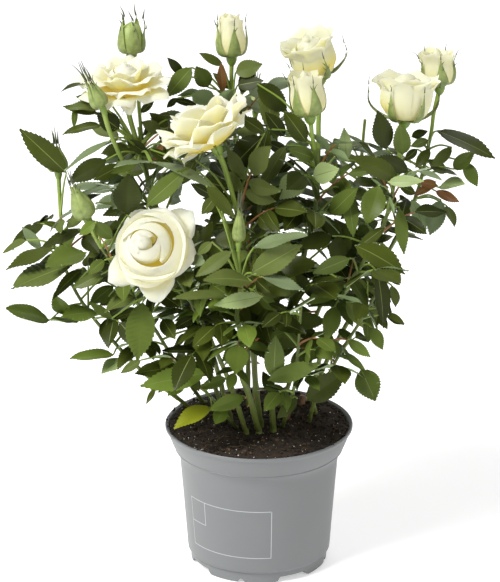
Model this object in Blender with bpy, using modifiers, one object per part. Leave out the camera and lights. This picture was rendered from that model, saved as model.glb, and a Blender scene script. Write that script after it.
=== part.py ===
"""Miniature rose bush in its own plastic pot, 105 mm across the rim.

The origin is the middle of the pot's flat underside, +Z is up and -Y is the plant's front.
Canes stand on the soil, each carries one mass of foliage, and each bloom or bud has its own stalk.
Every size below is in millimetres and is turned into metres where a shape is made.
"""
import math
import random
from collections import namedtuple

import bmesh
import bpy
from mathutils import Matrix, Vector
from mathutils.bvhtree import BVHTree

MM = 0.001
GAP = 0.3                       # clearance between neighbouring pieces

# Pot: heights are above the underside, radii are from the axis.
RIM_RADIUS = 52.5
RIM_HEIGHT = 81.0
RIM_LIP = 2.2                   # height of the rolled lip
COLLAR_TOP_RADIUS = 51.2
COLLAR_FOOT_RADIUS = 46.8
COLLAR_FOOT_HEIGHT = 67.5
WAIST_RADIUS = 44.3
WAIST_HEIGHT = 61.0
BODY_FOOT_RADIUS = 40.0
BODY_FOOT_HEIGHT = 5.0
FEET_RADIUS = 38.6
FEET_WIDTH = 4.0
CHANNEL_HEIGHT = 4.4            # drain channel inside the ring of feet
CENTRE_PAD_RADIUS = 25.0        # the middle of the underside, level with the feet
WALL = 1.3
FLOOR_HEIGHT = 6.2
TURN_STEPS = 32

FOOT_COUNT = 4
FIRST_GAP_ANGLE = 30.0          # degrees, from the front towards the right
FOOT_GAP_ANGLE = 20.0
FOOT_GAP_HEIGHT = 4.2
FOOT_HALF_TURN = 180.0 / FOOT_COUNT
NOTCH_WIDTH = 3.2
NOTCH_HEIGHT = 2.4
CUTTER_OVERSHOOT = 2.0          # how far a cutter runs past what it cuts

SOIL_HEIGHT = 78.0
LEAF_OVER_SOIL = 4.0            # no leaf hangs lower than this over the soil

# Canes, twigs and leaves.
CANE_TAPER = 0.62               # thickness at a cane's tip as a share of that at its foot
FOOT_UPRIGHT = 2.5              # the height over which a cane leaves the soil straight up
STEM_STEP = 22.0                # length of one straight piece of a leafy stem
FORK_LEAFY = 0.55
TWIG_SIDES = 3
STALK_SIDES = 4
LEAFLET_SHAPE = 0.62            # width of a leaflet as a share of its length
LEAFLET_WIDEST = 0.42           # where it is widest, from its root
LEAFLET_THICKNESS = 0.9
LEAFLET_FOLD = 0.22             # how far its two halves fold up
LEAF_LEAN = 0.8                 # how far a leaf's upper side turns outward from facing up
LEAFLET_DROOP = 0.25            # how far leaflets hang, as a share of their length
LEAFLET_FORWARD = 0.55          # how far a side leaflet points along its stalk
LEAF_ARCH = 0.16                # rise of a leaf's stalk over its chord, as a share of it
END_LEAFLET_SHARE = 0.54        # the last leaflet as a share of the whole leaf
END_LEAFLET_LIMIT = 36.0
PAIR_PLACE = 0.6                # where a pair of leaflets sits on its straight piece of stalk
PAIR_SHRINK = 0.12
ROOT_DEPTH = 0.35               # how deep a leaf's last leaflet is sunk in its stalk
LEAF_STALK_RADIUS = 0.8
STALK_RADIUS = 1.2              # of a flower's stalk
THIN_STALK_RADIUS = 0.85
SMALL_BUD = 4.0                 # a bud this small in radius has a thin stalk
STALK_SWELL = 1.15              # how much a stalk thickens below its flower
GREEN_BUD = 7.5                 # a bud this small in radius shows no petals yet
PETALS = 5
PETAL_NOTCH = 0.2               # how far the rim is cut in between two petals
BUD_SEPALS = 4
CUP_SEPALS = 5
SEPAL_SHAPE = 0.16
SEPAL_FOOT = 2.8                # how far up the calyx its sepals are set

# Profiles of flowers, from the foot up. A calyx and the foot of a bud are (radius, height) in
# millimetres, the rest are shares of the flower's own radius and height.
CALYX_PROFILE = [(0.0, -1.5), (1.6, -0.8), (3.0, 2.5), (2.4, 5.5), (0.0, 6.5)]
BUD_HIP_SHARE = 0.36            # radius of a bud's calyx as a share of the bud's
BUD_HIP_LEAST = 1.9
BUD_FOOT = [(0.0, -1.5), (0.7, -0.8), (1.0, 2.5), (0.85, 4.0)]      # radius as a share of the hip
BUD_BODY = [(1.0, 0.38), (0.86, 0.68), (0.42, 0.9), (0.0, 0.96)]
HEART_FOOT = [(0.0, 3.0), (0.72, 5.5)]                              # radius as a share of the heart
HEART_BODY = [(1.0, 0.55), (0.8, 0.86), (0.0, 1.0)]
HEART_SHARE = {"open": 0.46, "cup": 0.8}                            # radius as a share of the bloom
# A whorl of petals: radius as a share of its own, height as a share of its rise, and millimetres.
WHORL_PROFILE = [(0.0, 0.0, 0.0), (0.62, 0.34, 0.0), (1.0, 1.0, 0.0), (0.86, 1.0, 1.6),
                 (0.5, 0.34, 3.0), (0.0, 0.0, 4.0)]
# The whorls of each kind of bloom: share of its radius, foot in millimetres, rise as a share of
# its height, and turn as a share of the angle between two petals.
WHORLS = {"open": [(1.0, 2.5, 0.38, 0.0), (0.74, 3.4, 0.7, 0.5)], "cup": [(1.0, 2.5, 0.78, 0.0)]}
GOLDEN_ANGLE = 137.5
LEAF_RISE = (8, 38)             # degrees above level of a shoot's lowest and highest leaves
LEAF_RISE_STRAY = 12
LEAF_LENGTH_STRAY = 0.15
LEAF_TOP_SHRINK = 0.25          # how much shorter the highest leaves are
LEAF_TRIES = 16
# Each new try for a leaf whose place is taken turns, moves and shortens it a little more.
TRY_TURN = 12.0
TRY_SLIDE = 0.012
TRY_DROP = 2.0
TRY_SHORTEN = 0.025
OUTER_TRY_SLIDE = 0.02
LEAF_CLEARANCE = 0.7

# Space that the crown's own leaves keep to: a bowl round the plant's middle.
CROWN_MIDDLE = (-8.0, 0.0, 192.0)
CROWN_RADIUS = 112.0
CROWN_RISE = 92.0

# A shoot: the points its line passes through from the soil to its tip, its radius at the foot,
# the share of its length that is bare cane, and the share where its flower stalk begins.
Shoot = namedtuple("Shoot", "line girth bare leafy")
SHOOTS = {
    "far_left": Shoot(
        [(-36, 22, 78), (-47, 4, 95), (-61, -12, 113), (-77, -16, 132), (-96, -21, 160),
         (-106, -20, 184), (-107, -14, 205), (-108, -10, 229)], 1.6, 0.40, 0.88),
    "left_back": Shoot(
        [(-30, 30, 78), (-44, 4, 111), (-60, -20, 150), (-76, -38, 184), (-86, -45, 204),
         (-90, -47, 215)], 1.5, 0.36, 0.90),
    "left_front": Shoot(
        [(-7, -10, 78), (-15, -21, 110), (-27, -27, 142), (-42, -31, 174), (-53, -39, 194),
         (-55, -45, 198)], 1.9, 0.38, 0.92),
    "left_rear": Shoot(
        [(-16, 10, 78), (-28, 7, 126), (-50, 6, 187), (-60, 0, 222), (-63, -3, 235),
         (-69, -5, 258), (-71, -5, 269)], 2.0, 0.34, 0.86),
    "centre": Shoot(
        [(0, -9, 78), (-5, -22, 104), (-10, -29, 123), (-10, -39, 148), (-12, -46, 162),
         (-10, -54, 180), (-11, -60, 206)], 2.2, 0.36, 0.84),
    "centre_back": Shoot(
        [(1, 0, 78), (-2, -5, 107), (-4, -4, 138), (-7, -14, 182), (-13, -28, 218),
         (-18, -36, 240), (-22, -40, 252)], 2.3, 0.36, 0.78),
    "rear": Shoot(
        [(-2, 14, 78), (-3, 15, 148), (-7, 21, 193), (-13, 25, 238), (-15, 25, 269),
         (-15, 25, 283)], 2.0, 0.34, 0.88),
    "right_centre": Shoot(
        [(8, -7, 78), (7, -17, 102), (7, -20, 113), (14, -18, 146), (25, -12, 187),
         (31, -6, 214), (32, 0, 240), (32, 4, 256), (33, 5, 278)], 2.2, 0.34, 0.82),
    "right": Shoot(
        [(32, 14, 78), (30, -4, 100), (35, -17, 134), (41, -24, 157), (54, -22, 180),
         (68, -14, 205), (75, -5, 236), (78, 0, 255)], 1.9, 0.34, 0.88),
    "right_rear": Shoot(
        [(26, 30, 78), (44, 20, 122), (68, 21, 167), (86, 26, 203), (94, 30, 237),
         (96, 33, 251), (99, 35, 264)], 1.8, 0.36, 0.86),
    "right_low": Shoot(
        [(28, 4, 78), (30, -8, 94), (35, -20, 111), (45, -32, 137), (58, -38, 162),
         (66, -40, 182)], 1.5, 0.34, 1.0),
    "low_left": Shoot(
        [(-12, -3, 78), (-19, -14, 92), (-27, -25, 107), (-37, -33, 121), (-46, -38, 132)],
        1.3, 0.30, 1.0),
    "low_front": Shoot(
        [(13, -1, 78), (15, -16, 92), (18, -31, 109), (20, -41, 128), (21, -50, 150),
         (22, -56, 172)], 1.5, 0.26, 1.0),
    "back_left": Shoot(
        [(-20, 24, 78), (-33, 38, 110), (-50, 54, 150), (-62, 66, 195), (-68, 70, 232)],
        1.8, 0.32, 1.0),
    "back_middle": Shoot(
        [(-6, 30, 78), (-6, 44, 108), (-5, 59, 144), (-3, 70, 184), (-2, 75, 220),
         (-2, 76, 238)], 1.8, 0.32, 0.86),
    "back_right": Shoot(
        [(12, 27, 78), (26, 42, 112), (44, 59, 152), (56, 69, 196), (60, 72, 236)],
        1.8, 0.32, 1.0),
}

# A side shoot: the shoot it forks from, its own line, and its radius where it forks.
Fork = namedtuple("Fork", "shoot line girth")
FORKS = {
    "left_rear_high": Fork(
        "left_rear", [(-60, 0.5, 221), (-64, 12, 245), (-66, 19, 268), (-69, 20, 286)], 1.2),
    "left_rear_low": Fork(
        "left_rear", [(-51, 5.5, 191), (-60, -7, 212), (-71, -22, 237), (-79, -29, 259),
                      (-82, -30, 271)], 1.2),
    "right_centre_front": Fork(
        "right_centre", [(31.5, -3, 228), (30, -13, 241), (28, -19, 254), (27, -20, 263)], 1.2),
}

# Blooms and buds: the shoot or fork that ends in it, the way it faces, its radius and height.
Flower = namedtuple("Flower", "shoot facing radius height kind")
FLOWERS = {
    "bloom_front": Flower("left_front", (-0.12, -0.88, 0.46), 24.0, 24.0, "open"),
    "bloom_open_left": Flower("left_rear", (-0.08, -0.16, 0.98), 21.5, 20.0, "open"),
    "bloom_open_centre": Flower("centre_back", (-0.42, -0.14, 0.88), 27.0, 24.0, "open"),
    "bloom_half_right": Flower("right_centre", (-0.33, -0.10, 0.92), 13.5, 27.0, "cup"),
    "bud_centre_right": Flower("right_centre_front", (-0.14, -0.04, 0.98), 9.0, 27.0, "bud"),
    "bloom_half_far_right": Flower("right", (0.05, -0.10, 0.99), 17.0, 27.0, "cup"),
    "bud_far_right": Flower("right_rear", (-0.10, 0.02, 0.99), 9.0, 23.0, "bud"),
    "bud_top_centre": Flower("rear", (-0.03, 0.0, 1.0), 8.3, 26.0, "bud"),
    "bud_top_left": Flower("left_rear_high", (0.0, 0.0, 1.0), 7.2, 25.0, "bud"),
    "bud_left_upper": Flower("left_rear_low", (-0.42, 0.0, 0.90), 4.6, 28.0, "bud"),
    "bud_left_middle": Flower("left_back", (-0.35, -0.10, 0.93), 6.6, 27.0, "bud"),
    "bud_left_far": Flower("far_left", (-0.06, 0.0, 1.0), 5.2, 24.0, "bud"),
    "bud_back": Flower("back_middle", (0.05, 0.10, 0.99), 4.6, 22.0, "bud"),
    "bud_centre_small": Flower("centre", (0.03, 0.0, 1.0), 3.2, 29.0, "bud"),
}

# How many leaves each shoot's own rule sets along it, the first leaf's bearing, and leaf length.
Foliage = namedtuple("Foliage", "count bearing length")
FOLIAGE = {
    "far_left": Foliage(3, 40, 55), "left_back": Foliage(4, 200, 59),
    "left_front": Foliage(6, 250, 62), "left_rear": Foliage(6, 120, 62),
    "centre": Foliage(7, 300, 59), "centre_back": Foliage(7, 160, 62),
    "rear": Foliage(8, 80, 64), "right_centre": Foliage(8, 20, 62),
    "right": Foliage(6, 330, 64), "right_rear": Foliage(6, 60, 64),
    "right_low": Foliage(4, 280, 57), "low_left": Foliage(3, 230, 51),
    "low_front": Foliage(4, 270, 53), "back_left": Foliage(7, 110, 66),
    "back_middle": Foliage(7, 40, 62), "back_right": Foliage(7, 70, 66),
}

# Leaves that carry the crown's outline: where each leaves its shoot, and where its tip is.
OUTER_LEAVES = {
    "rear": [(0.95, (-33, 14, 289)), (0.95, (6, 22, 281))],
    "far_left": [(0.95, (-125, -30, 260)), (0.88, (-136, -35, 186)), (0.46, (-136, -40, 164)),
                 (0.12, (-102, -35, 134)), (0.66, (-134, -30, 173)), (0.92, (-141, 10, 182))],
    "left_back": [(0.67, (-111, -48, 175)), (0.89, (-117, -44, 197))],
    "left_front": [(0.78, (-64, -58, 138)), (0.22, (-66, -50, 124))],
    "left_rear": [(0.85, (-104, -38, 240)), (0.95, (-104, -18, 268)), (0.95, (-43, 14, 280))],
    "centre_back": [(0.95, (2, -47, 254))],
    "centre": [(0.92, (-14, -78, 190)), (0.54, (-36, -68, 152))],
    "right_centre": [(0.67, (44, -26, 252))],
    "right": [(0.85, (61, -24, 266)), (0.41, (78, -48, 190)), (0.93, (97, -22, 232))],
    "right_rear": [(0.95, (128, -12, 242)), (0.76, (108, -22, 218)), (0.80, (121, 18, 218)),
                   (0.52, (107, 6, 194))],
    "right_low": [(0.27, (63, -58, 119)), (0.39, (50, -62, 133)), (0.88, (70, -48, 155))],
    "low_left": [(0.71, (-66, -42, 119)), (0.31, (-47, -46, 103)), (0.14, (-20, -48, 105))],
    "low_front": [(0.32, (31, -60, 128)), (0.22, (3, -60, 114))],
}

UP = Vector((0, 0, 1))
SIDEWAYS = Vector((0.35, 0.94, 0.0))
Body = namedtuple("Body", "verts faces")     # one closed shape: its points and its faces


# ---------------------------------------------------------------- scene, materials and objects

def clear_scene():
    for item in list(bpy.data.objects):
        bpy.data.objects.remove(item, do_unlink=True)


def new_collection(name):
    collection = bpy.data.collections.new(name)
    bpy.context.scene.collection.children.link(collection)
    return collection


def make_material(name, colour, roughness):
    material = bpy.data.materials.new(name)
    material.use_nodes = True
    shader = material.node_tree.nodes["Principled BSDF"]
    shader.inputs["Base Color"].default_value = (*colour, 1.0)
    shader.inputs["Roughness"].default_value = roughness
    material.diffuse_color = (*colour, 1.0)
    return material


def add_object(name, mesh, collection, material=None):
    item = bpy.data.objects.new(name, mesh)
    collection.objects.link(item)
    if material is not None:
        mesh.materials.clear()
        mesh.materials.append(material)
    return item


def mesh_from_body(name, body):
    mesh = bpy.data.meshes.new(name)
    mesh.from_pydata([point * MM for point in body.verts], [], body.faces)
    mesh.update()
    return mesh


def evaluated_mesh(item):
    """The mesh of an object as its modifiers or its curve settings make it."""
    graph = bpy.context.evaluated_depsgraph_get()
    return bpy.data.meshes.new_from_object(item.evaluated_get(graph))


def weld(mesh):
    """Join points that lie together, such as those of a curve's caps."""
    builder = bmesh.new()
    builder.from_mesh(mesh)
    bmesh.ops.remove_doubles(builder, verts=builder.verts, dist=0.001 * MM)
    builder.to_mesh(mesh)
    builder.free()
    return mesh


# ---------------------------------------------------------------- lines through space

def smooth_line(points, steps=5):
    """A Catmull-Rom line through the given points."""
    knots = [Vector(point) for point in points]
    knots = [2 * knots[0] - knots[1], *knots, 2 * knots[-1] - knots[-2]]
    line = []
    for a, b, c, d in zip(knots, knots[1:], knots[2:], knots[3:]):
        for step in range(steps):
            t = step / steps
            line.append(0.5 * (2 * b + (c - a) * t + (2 * a - 5 * b + 4 * c - d) * t ** 2
                               + (3 * b - a - 3 * c + d) * t ** 3))
    line.append(knots[-2])
    return line


def line_length(line):
    return sum((b - a).length for a, b in zip(line, line[1:]))


def point_at(line, share):
    """The point at a share of the line's length, and the line's direction there."""
    left = share * line_length(line)
    for a, b in zip(line, line[1:]):
        span = (b - a).length
        if left <= span or b is line[-1]:
            return a + (b - a) * (left / span), (b - a).normalized()
        left -= span


def stretch(line, start, end, count):
    """Evenly spaced points from one share of the line to another."""
    return [point_at(line, start + (end - start) * i / (count - 1))[0] for i in range(count)]


def frame_along(direction, hint=UP):
    """A right-handed frame whose Z lies along the direction and whose Y leans to the hint."""
    z = direction.normalized()
    x = hint.cross(z)
    if x.length < 0.05:
        x = Vector((1, 0, 0)).cross(z)
    x.normalize()
    return Matrix((x, z.cross(x), z)).transposed()


# ---------------------------------------------------------------- plant shapes

def twig(line, first, last, sides=TWIG_SIDES, hint=SIDEWAYS):
    """A tapering stem with flat ends along a line."""
    verts = []
    for i, point in enumerate(line):
        ahead = line[min(i + 1, len(line) - 1)] - line[max(i - 1, 0)]
        frame = frame_along(ahead, hint)
        radius = first + (last - first) * i / (len(line) - 1)
        for side in range(sides):
            turn = math.tau * (side / sides + 0.25)
            verts.append(point + frame @ Vector((math.cos(turn), math.sin(turn), 0)) * radius)
    faces = [tuple(reversed(range(sides)))]
    for ring in range(len(line) - 1):
        for side in range(sides):
            a = ring * sides + side
            b = ring * sides + (side + 1) % sides
            faces.append((a, b, b + sides, a + sides))
    faces.append(tuple(range(len(verts) - sides, len(verts))))
    return Body(verts, faces)


def leaflet(root, along, normal, length, swell=0.0, shape=LEAFLET_SHAPE):
    """An eight-faced blade from its root to its tip, folded up a little about its midrib."""
    along = along.normalized()
    across = along.cross(normal).normalized()
    normal = across.cross(along)
    half = length * shape / 2 + swell
    thick = LEAFLET_THICKNESS / 2 + swell
    middle = root + along * length * LEAFLET_WIDEST
    edge = normal * half * LEAFLET_FOLD
    verts = [root, middle - across * half + edge, middle + across * half + edge,
             root + along * (length + swell), middle + normal * thick, middle - normal * thick]
    root_end, left, right, tip, top, under = range(6)
    faces = [(root_end, right, top), (right, tip, top), (tip, left, top), (left, root_end, top),
             (right, root_end, under), (tip, right, under), (left, tip, under),
             (root_end, left, under)]
    return Body(verts, faces)


def leaf_facing(tip):
    """The way a leaf's upper side looks: up, and out from the plant's middle."""
    out = tip - Vector(CROWN_MIDDLE)
    return UP + Vector((out.x * 0.4, out.y, 0.0)).normalized() * LEAF_LEAN


def leaf_plan(start, tip, pairs):
    """The stalk of one compound leaf and its leaflets, as (root, direction, normal, length)."""
    chord = Vector(tip) - start
    length = chord.length
    facing = leaf_facing(Vector(tip))
    end_size = min(END_LEAFLET_SHARE * length, END_LEAFLET_LIMIT)
    reach = chord * (1 - end_size / length)
    joints = [start, start + reach + UP * LEAF_ARCH * length]
    if pairs == 2:
        joints.insert(1, start + reach * 0.5 + UP * LEAF_ARCH * length * 0.8)
    blades = []
    for pair in range(1, pairs + 1):
        low, high = joints[-pair - 1], joints[-pair]
        root = low.lerp(high, PAIR_PLACE)
        frame = frame_along(high - low, facing)
        size = end_size * (1 - PAIR_SHRINK * pair)
        for way in (-1, 1):
            out = frame.col[2] * LEAFLET_FORWARD + frame.col[0] * way - UP * LEAFLET_DROOP
            blades.append((root, out, frame.col[1], size))
    ahead = (joints[-1] - joints[-2]).normalized()
    normal = frame_along(ahead, facing).col[1]
    blades.append((joints[-1], start + chord - joints[-1], normal, end_size))
    joints[-1] = joints[-1] + ahead * ROOT_DEPTH
    return joints, blades


def leaf_bodies(start, tip, pairs, swell=0.0):
    """The solids of one compound leaf: its stalk and its leaflets."""
    joints, blades = leaf_plan(start, tip, pairs)
    stalk = twig(joints, LEAF_STALK_RADIUS + swell, LEAF_STALK_RADIUS * 0.8 + swell, hint=UP)
    return [stalk] + [leaflet(*blade, swell=swell) for blade in blades]


def round_body(base, frame, rings, sides, lobes=0, notch=0.0, turn=0.0):
    """A closed body about an axis, its rings given as (radius, height) from foot to top.

    With lobes, the rings further out are notched between them, as petals are.
    """
    widest = max(radius for radius, height in rings)
    verts = [base + frame @ Vector((0, 0, rings[0][1]))]
    for radius, height in rings[1:-1]:
        for side in range(sides):
            angle = turn + math.tau * side / sides
            valley = lobes and side % (sides // lobes) == 0
            cut = 1 - notch * (radius / widest) ** 2 if valley else 1.0
            flat = Vector((math.cos(angle), math.sin(angle), 0)) * radius * cut
            verts.append(base + frame @ (flat + Vector((0, 0, height))))
    verts.append(base + frame @ Vector((0, 0, rings[-1][1])))
    last = len(verts) - 1
    faces = []
    for side in range(sides):
        beside = (side + 1) % sides
        faces.append((0, 1 + beside, 1 + side))
        for ring in range(len(rings) - 3):
            a = 1 + ring * sides + side
            b = 1 + ring * sides + beside
            faces.append((a, b, b + sides, a + sides))
        faces.append((last - sides + side, last - sides + beside, last))
    return Body(verts, faces)


def whorl(base, frame, radius, foot, rise, turn):
    """Five petals round a bloom as one thick dish, from its foot out to its notched rim."""
    rings = [(radius * wide, foot + rise * high + above) for wide, high, above in WHORL_PROFILE]
    return round_body(base, frame, rings, PETALS * 3, PETALS, PETAL_NOTCH, turn)


def sepal(base, frame, turn, reach, rise):
    """A narrow green blade under a bloom, from the calyx out to its tip."""
    outward = frame @ Matrix.Rotation(turn, 3, "Z")
    root = base + outward @ Vector((0, 0.8, 0))
    tip = base + outward @ Vector((0, reach, rise))
    return leaflet(root, tip - root, outward @ Vector((0, 1, 0.2)), (tip - root).length,
                   shape=SEPAL_SHAPE)


def bud_bodies(base, frame, radius, height):
    """A closed or opening bud on its calyx, with its sepals standing off it."""
    hip = max(BUD_HIP_LEAST, BUD_HIP_SHARE * radius)
    rings = [(hip * wide, high) for wide, high in BUD_FOOT]
    rings += [(radius * wide, height * high) for wide, high in BUD_BODY]
    bodies = [round_body(base, frame, rings, 6)]
    for i in range(BUD_SEPALS):
        turn = math.tau * (i + 0.4) / BUD_SEPALS
        bodies.append(sepal(base + frame @ Vector((0, 0, SEPAL_FOOT)), frame, turn,
                            radius * 1.25, height * 0.92))
    return bodies


def bloom_bodies(base, frame, flower):
    """An open bloom: calyx, the heart its petals close on, whorls of petals, and its sepals."""
    radius, height = flower.radius, flower.height
    heart_radius = radius * HEART_SHARE[flower.kind]
    heart = [(heart_radius * wide, high) for wide, high in HEART_FOOT]
    heart += [(heart_radius * wide, height * high) for wide, high in HEART_BODY]
    bodies = [round_body(base, frame, CALYX_PROFILE, 6),
              round_body(base, frame, heart, 8, turn=0.3)]
    for wide, foot, rise, turn in WHORLS[flower.kind]:
        turn *= math.tau / PETALS
        bodies.append(whorl(base, frame, radius * wide, foot, height * rise, turn))
    if flower.kind == "open":
        return bodies
    for i in range(CUP_SEPALS):
        turn = math.tau * (i + 0.5) / CUP_SEPALS
        bodies.append(sepal(base + frame @ Vector((0, 0, SEPAL_FOOT)), frame, turn,
                            radius * 1.05, height * 0.3))
    return bodies


def flower_bodies(flower, stalk_line):
    """The solids of one flower: its stalk, and the bud or bloom that ends it."""
    base = stalk_line[-1]
    frame = frame_along(Vector(flower.facing))
    thick = STALK_RADIUS if flower.radius > SMALL_BUD else THIN_STALK_RADIUS
    bodies = [twig(stalk_line, thick, thick * STALK_SWELL, STALK_SIDES)]
    if flower.kind == "bud":
        return bodies + bud_bodies(base, frame, flower.radius, flower.height)
    return bodies + bloom_bodies(base, frame, flower)


# ---------------------------------------------------------------- what is already in the way

class Obstacles:
    """The shapes set so far, by name, for keeping each new leaf clear of them."""

    def __init__(self):
        self.items = []

    def add(self, owner, bodies):
        for body in bodies:
            tree = BVHTree.FromPolygons(body.verts, body.faces)
            low = [min(v[i] for v in body.verts) for i in range(3)]
            high = [max(v[i] for v in body.verts) for i in range(3)]
            self.items.append((owner, low, high, tree))

    def touched_by(self, bodies, skip):
        for body in bodies:
            tree = BVHTree.FromPolygons(body.verts, body.faces)
            low = [min(v[i] for v in body.verts) for i in range(3)]
            high = [max(v[i] for v in body.verts) for i in range(3)]
            for owner, other_low, other_high, other in self.items:
                if owner == skip:
                    continue
                if any(low[i] > other_high[i] or high[i] < other_low[i] for i in range(3)):
                    continue
                if tree.overlap(other):
                    return True
        return False


def inside_crown(point):
    offset = point - Vector(CROWN_MIDDLE)
    flat = math.hypot(offset.x, offset.y) / CROWN_RADIUS
    return flat ** 2 + (offset.z / CROWN_RISE) ** 2 < 1.0


def above_soil(bodies):
    low = min(v.z for body in bodies for v in body.verts)
    return low > SOIL_HEIGHT + LEAF_OVER_SOIL


# ---------------------------------------------------------------- pot and soil

def outer_profile():
    """Half section of the pot's outside, from the lip down to its feet."""
    lip = RIM_HEIGHT - RIM_LIP
    return [(RIM_RADIUS - 0.6, RIM_HEIGHT), (RIM_RADIUS, RIM_HEIGHT - 0.6), (RIM_RADIUS, lip),
            (COLLAR_TOP_RADIUS, lip), (COLLAR_FOOT_RADIUS, COLLAR_FOOT_HEIGHT),
            (WAIST_RADIUS, WAIST_HEIGHT), (BODY_FOOT_RADIUS, BODY_FOOT_HEIGHT),
            (FEET_RADIUS, BODY_FOOT_HEIGHT), (FEET_RADIUS - 0.3, 0.0)]


def inner_profile(clear=0.0):
    """Half section of the pot's inside, from its floor up to the lip."""
    inset = WALL + clear
    floor = FLOOR_HEIGHT + clear
    return [(0.0, floor), (BODY_FOOT_RADIUS - inset - 0.5, floor),
            (WAIST_RADIUS - inset, WAIST_HEIGHT), (COLLAR_FOOT_RADIUS - inset, COLLAR_FOOT_HEIGHT),
            (COLLAR_TOP_RADIUS - inset, RIM_HEIGHT)]


def underside_profile():
    """Half section of the underside, from the feet in to the middle."""
    inner = FEET_RADIUS - FEET_WIDTH
    return [(inner, 0.0), (inner - 0.4, CHANNEL_HEIGHT), (CENTRE_PAD_RADIUS + 0.4, CHANNEL_HEIGHT),
            (CENTRE_PAD_RADIUS, 0.0), (0.0, 0.0)]


def turned(name, profile, collection, material):
    """A round piece: its half section carried once round the Z axis."""
    mesh = bpy.data.meshes.new(name)
    verts = [(radius * MM, 0.0, height * MM) for radius, height in profile]
    mesh.from_pydata(verts, [(i, i + 1) for i in range(len(verts) - 1)], [])
    item = add_object(name, mesh, collection, material)
    screw = item.modifiers.new("turn", "SCREW")
    screw.steps = TURN_STEPS
    screw.render_steps = TURN_STEPS
    screw.use_merge_vertices = True
    screw.merge_threshold = 0.00005
    return item


def box_cutter(name, size, place, turn, collection):
    """A box that cuts the pot, turned about the pot's axis."""
    mesh = bpy.data.meshes.new(name)
    builder = bmesh.new()
    scale = Matrix.Diagonal((*[value * MM for value in size], 1.0))
    rotation = Matrix.Rotation(math.radians(turn), 4, "Z")
    shift = Matrix.Translation([value * MM for value in place])
    bmesh.ops.create_cube(builder, size=1.0, matrix=rotation @ shift @ scale)
    builder.to_mesh(mesh)
    builder.free()
    item = add_object(name, mesh, collection)
    item.hide_render = True
    item.display_type = "WIRE"
    return item


def build_pot(parts, cutters, material):
    profile = inner_profile() + outer_profile() + underside_profile()
    pot = turned("pot", profile, parts, material)
    gap_width = 2 * FEET_RADIUS * math.sin(math.radians(FOOT_GAP_ANGLE) / 2)
    depth = FEET_WIDTH + 2 * CUTTER_OVERSHOOT
    ring = -(FEET_RADIUS - FEET_WIDTH / 2)
    for i in range(FOOT_COUNT):
        turn = FIRST_GAP_ANGLE + 360.0 * i / FOOT_COUNT
        for kind, width, top, angle in (("gap", gap_width, FOOT_GAP_HEIGHT, turn),
                                        ("notch", NOTCH_WIDTH, NOTCH_HEIGHT, turn + FOOT_HALF_TURN)):
            size = (width, depth, top + CUTTER_OVERSHOOT)
            place = (0, ring, (top - CUTTER_OVERSHOOT) / 2)
            cutter = box_cutter(f"foot_{kind}_{i}", size, place, angle, cutters)
            cut = pot.modifiers.new(cutter.name, "BOOLEAN")
            cut.object = cutter
    return pot


def build_soil(parts, material):
    """The soil fills the pot and is level a little below the rim."""
    profile = inner_profile(GAP)[:-1]
    low, high = inner_profile(GAP)[-2:]
    share = (SOIL_HEIGHT - low[1]) / (high[1] - low[1])
    edge = low[0] + (high[0] - low[0]) * share
    ring = profile + [(edge, SOIL_HEIGHT), (0.0, SOIL_HEIGHT)]
    ring.reverse()
    return turned("soil", ring, parts, material)


# ---------------------------------------------------------------- the plant

def lines_of_plant():
    """The smooth line of every shoot and fork, by name."""
    lines = {name: smooth_line(shoot.line) for name, shoot in SHOOTS.items()}
    lines.update({name: smooth_line(fork.line) for name, fork in FORKS.items()})
    return lines


def radius_at(shoot, share):
    return shoot.girth * (1 - (1 - CANE_TAPER) * share)


def build_cane(name, shoot, line, parts, material):
    """The bare foot of a shoot, cut flat just above the soil."""
    points = stretch(line, 0.0, shoot.bare, 4)
    foot = points[0]
    points[0] = foot + UP * FOOT_UPRIGHT
    points.insert(0, foot + UP * GAP)
    curve = bpy.data.curves.new(name, "CURVE")
    curve.dimensions = "3D"
    curve.bevel_depth = shoot.girth * MM
    curve.bevel_resolution = 1
    curve.use_fill_caps = True
    spline = curve.splines.new("POLY")
    spline.points.add(len(points) - 1)
    for i, point in enumerate(points):
        spline.points[i].co = (*(point * MM), 1.0)
        share = shoot.bare * max(i - 1, 0) / (len(points) - 2)
        spline.points[i].radius = radius_at(shoot, share) / shoot.girth
    draft = add_object("draft_" + name, curve, parts)
    item = add_object("cane_" + name, weld(evaluated_mesh(draft)), parts, material)
    item.matrix_world = draft.matrix_world
    bpy.data.objects.remove(draft, do_unlink=True)
    return item


def leafy_lines(lines):
    """The leafy stretch of each shoot, and of each fork, as the points its stem is made with."""
    stems = {}
    for name, shoot in SHOOTS.items():
        length = line_length(lines[name])
        start = shoot.bare + GAP / length
        stems[name] = stretch(lines[name], start, shoot.leafy,
                              3 + round(length * (shoot.leafy - start) / STEM_STEP))
    for name in FORKS:
        stems[name] = stretch(lines[name], 0.0, FORK_LEAFY, 4)
    return stems


def stem_bodies(name, stems):
    """The leafy stem of a shoot and of each fork that leaves it."""
    shoot = SHOOTS[name]
    bodies = [twig(stems[name], radius_at(shoot, shoot.bare), radius_at(shoot, shoot.leafy),
                   STALK_SIDES)]
    for fork_name, fork in FORKS.items():
        if fork.shoot == name:
            bodies.append(twig(stems[fork_name], fork.girth, fork.girth * 0.85, STALK_SIDES))
    return bodies


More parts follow.
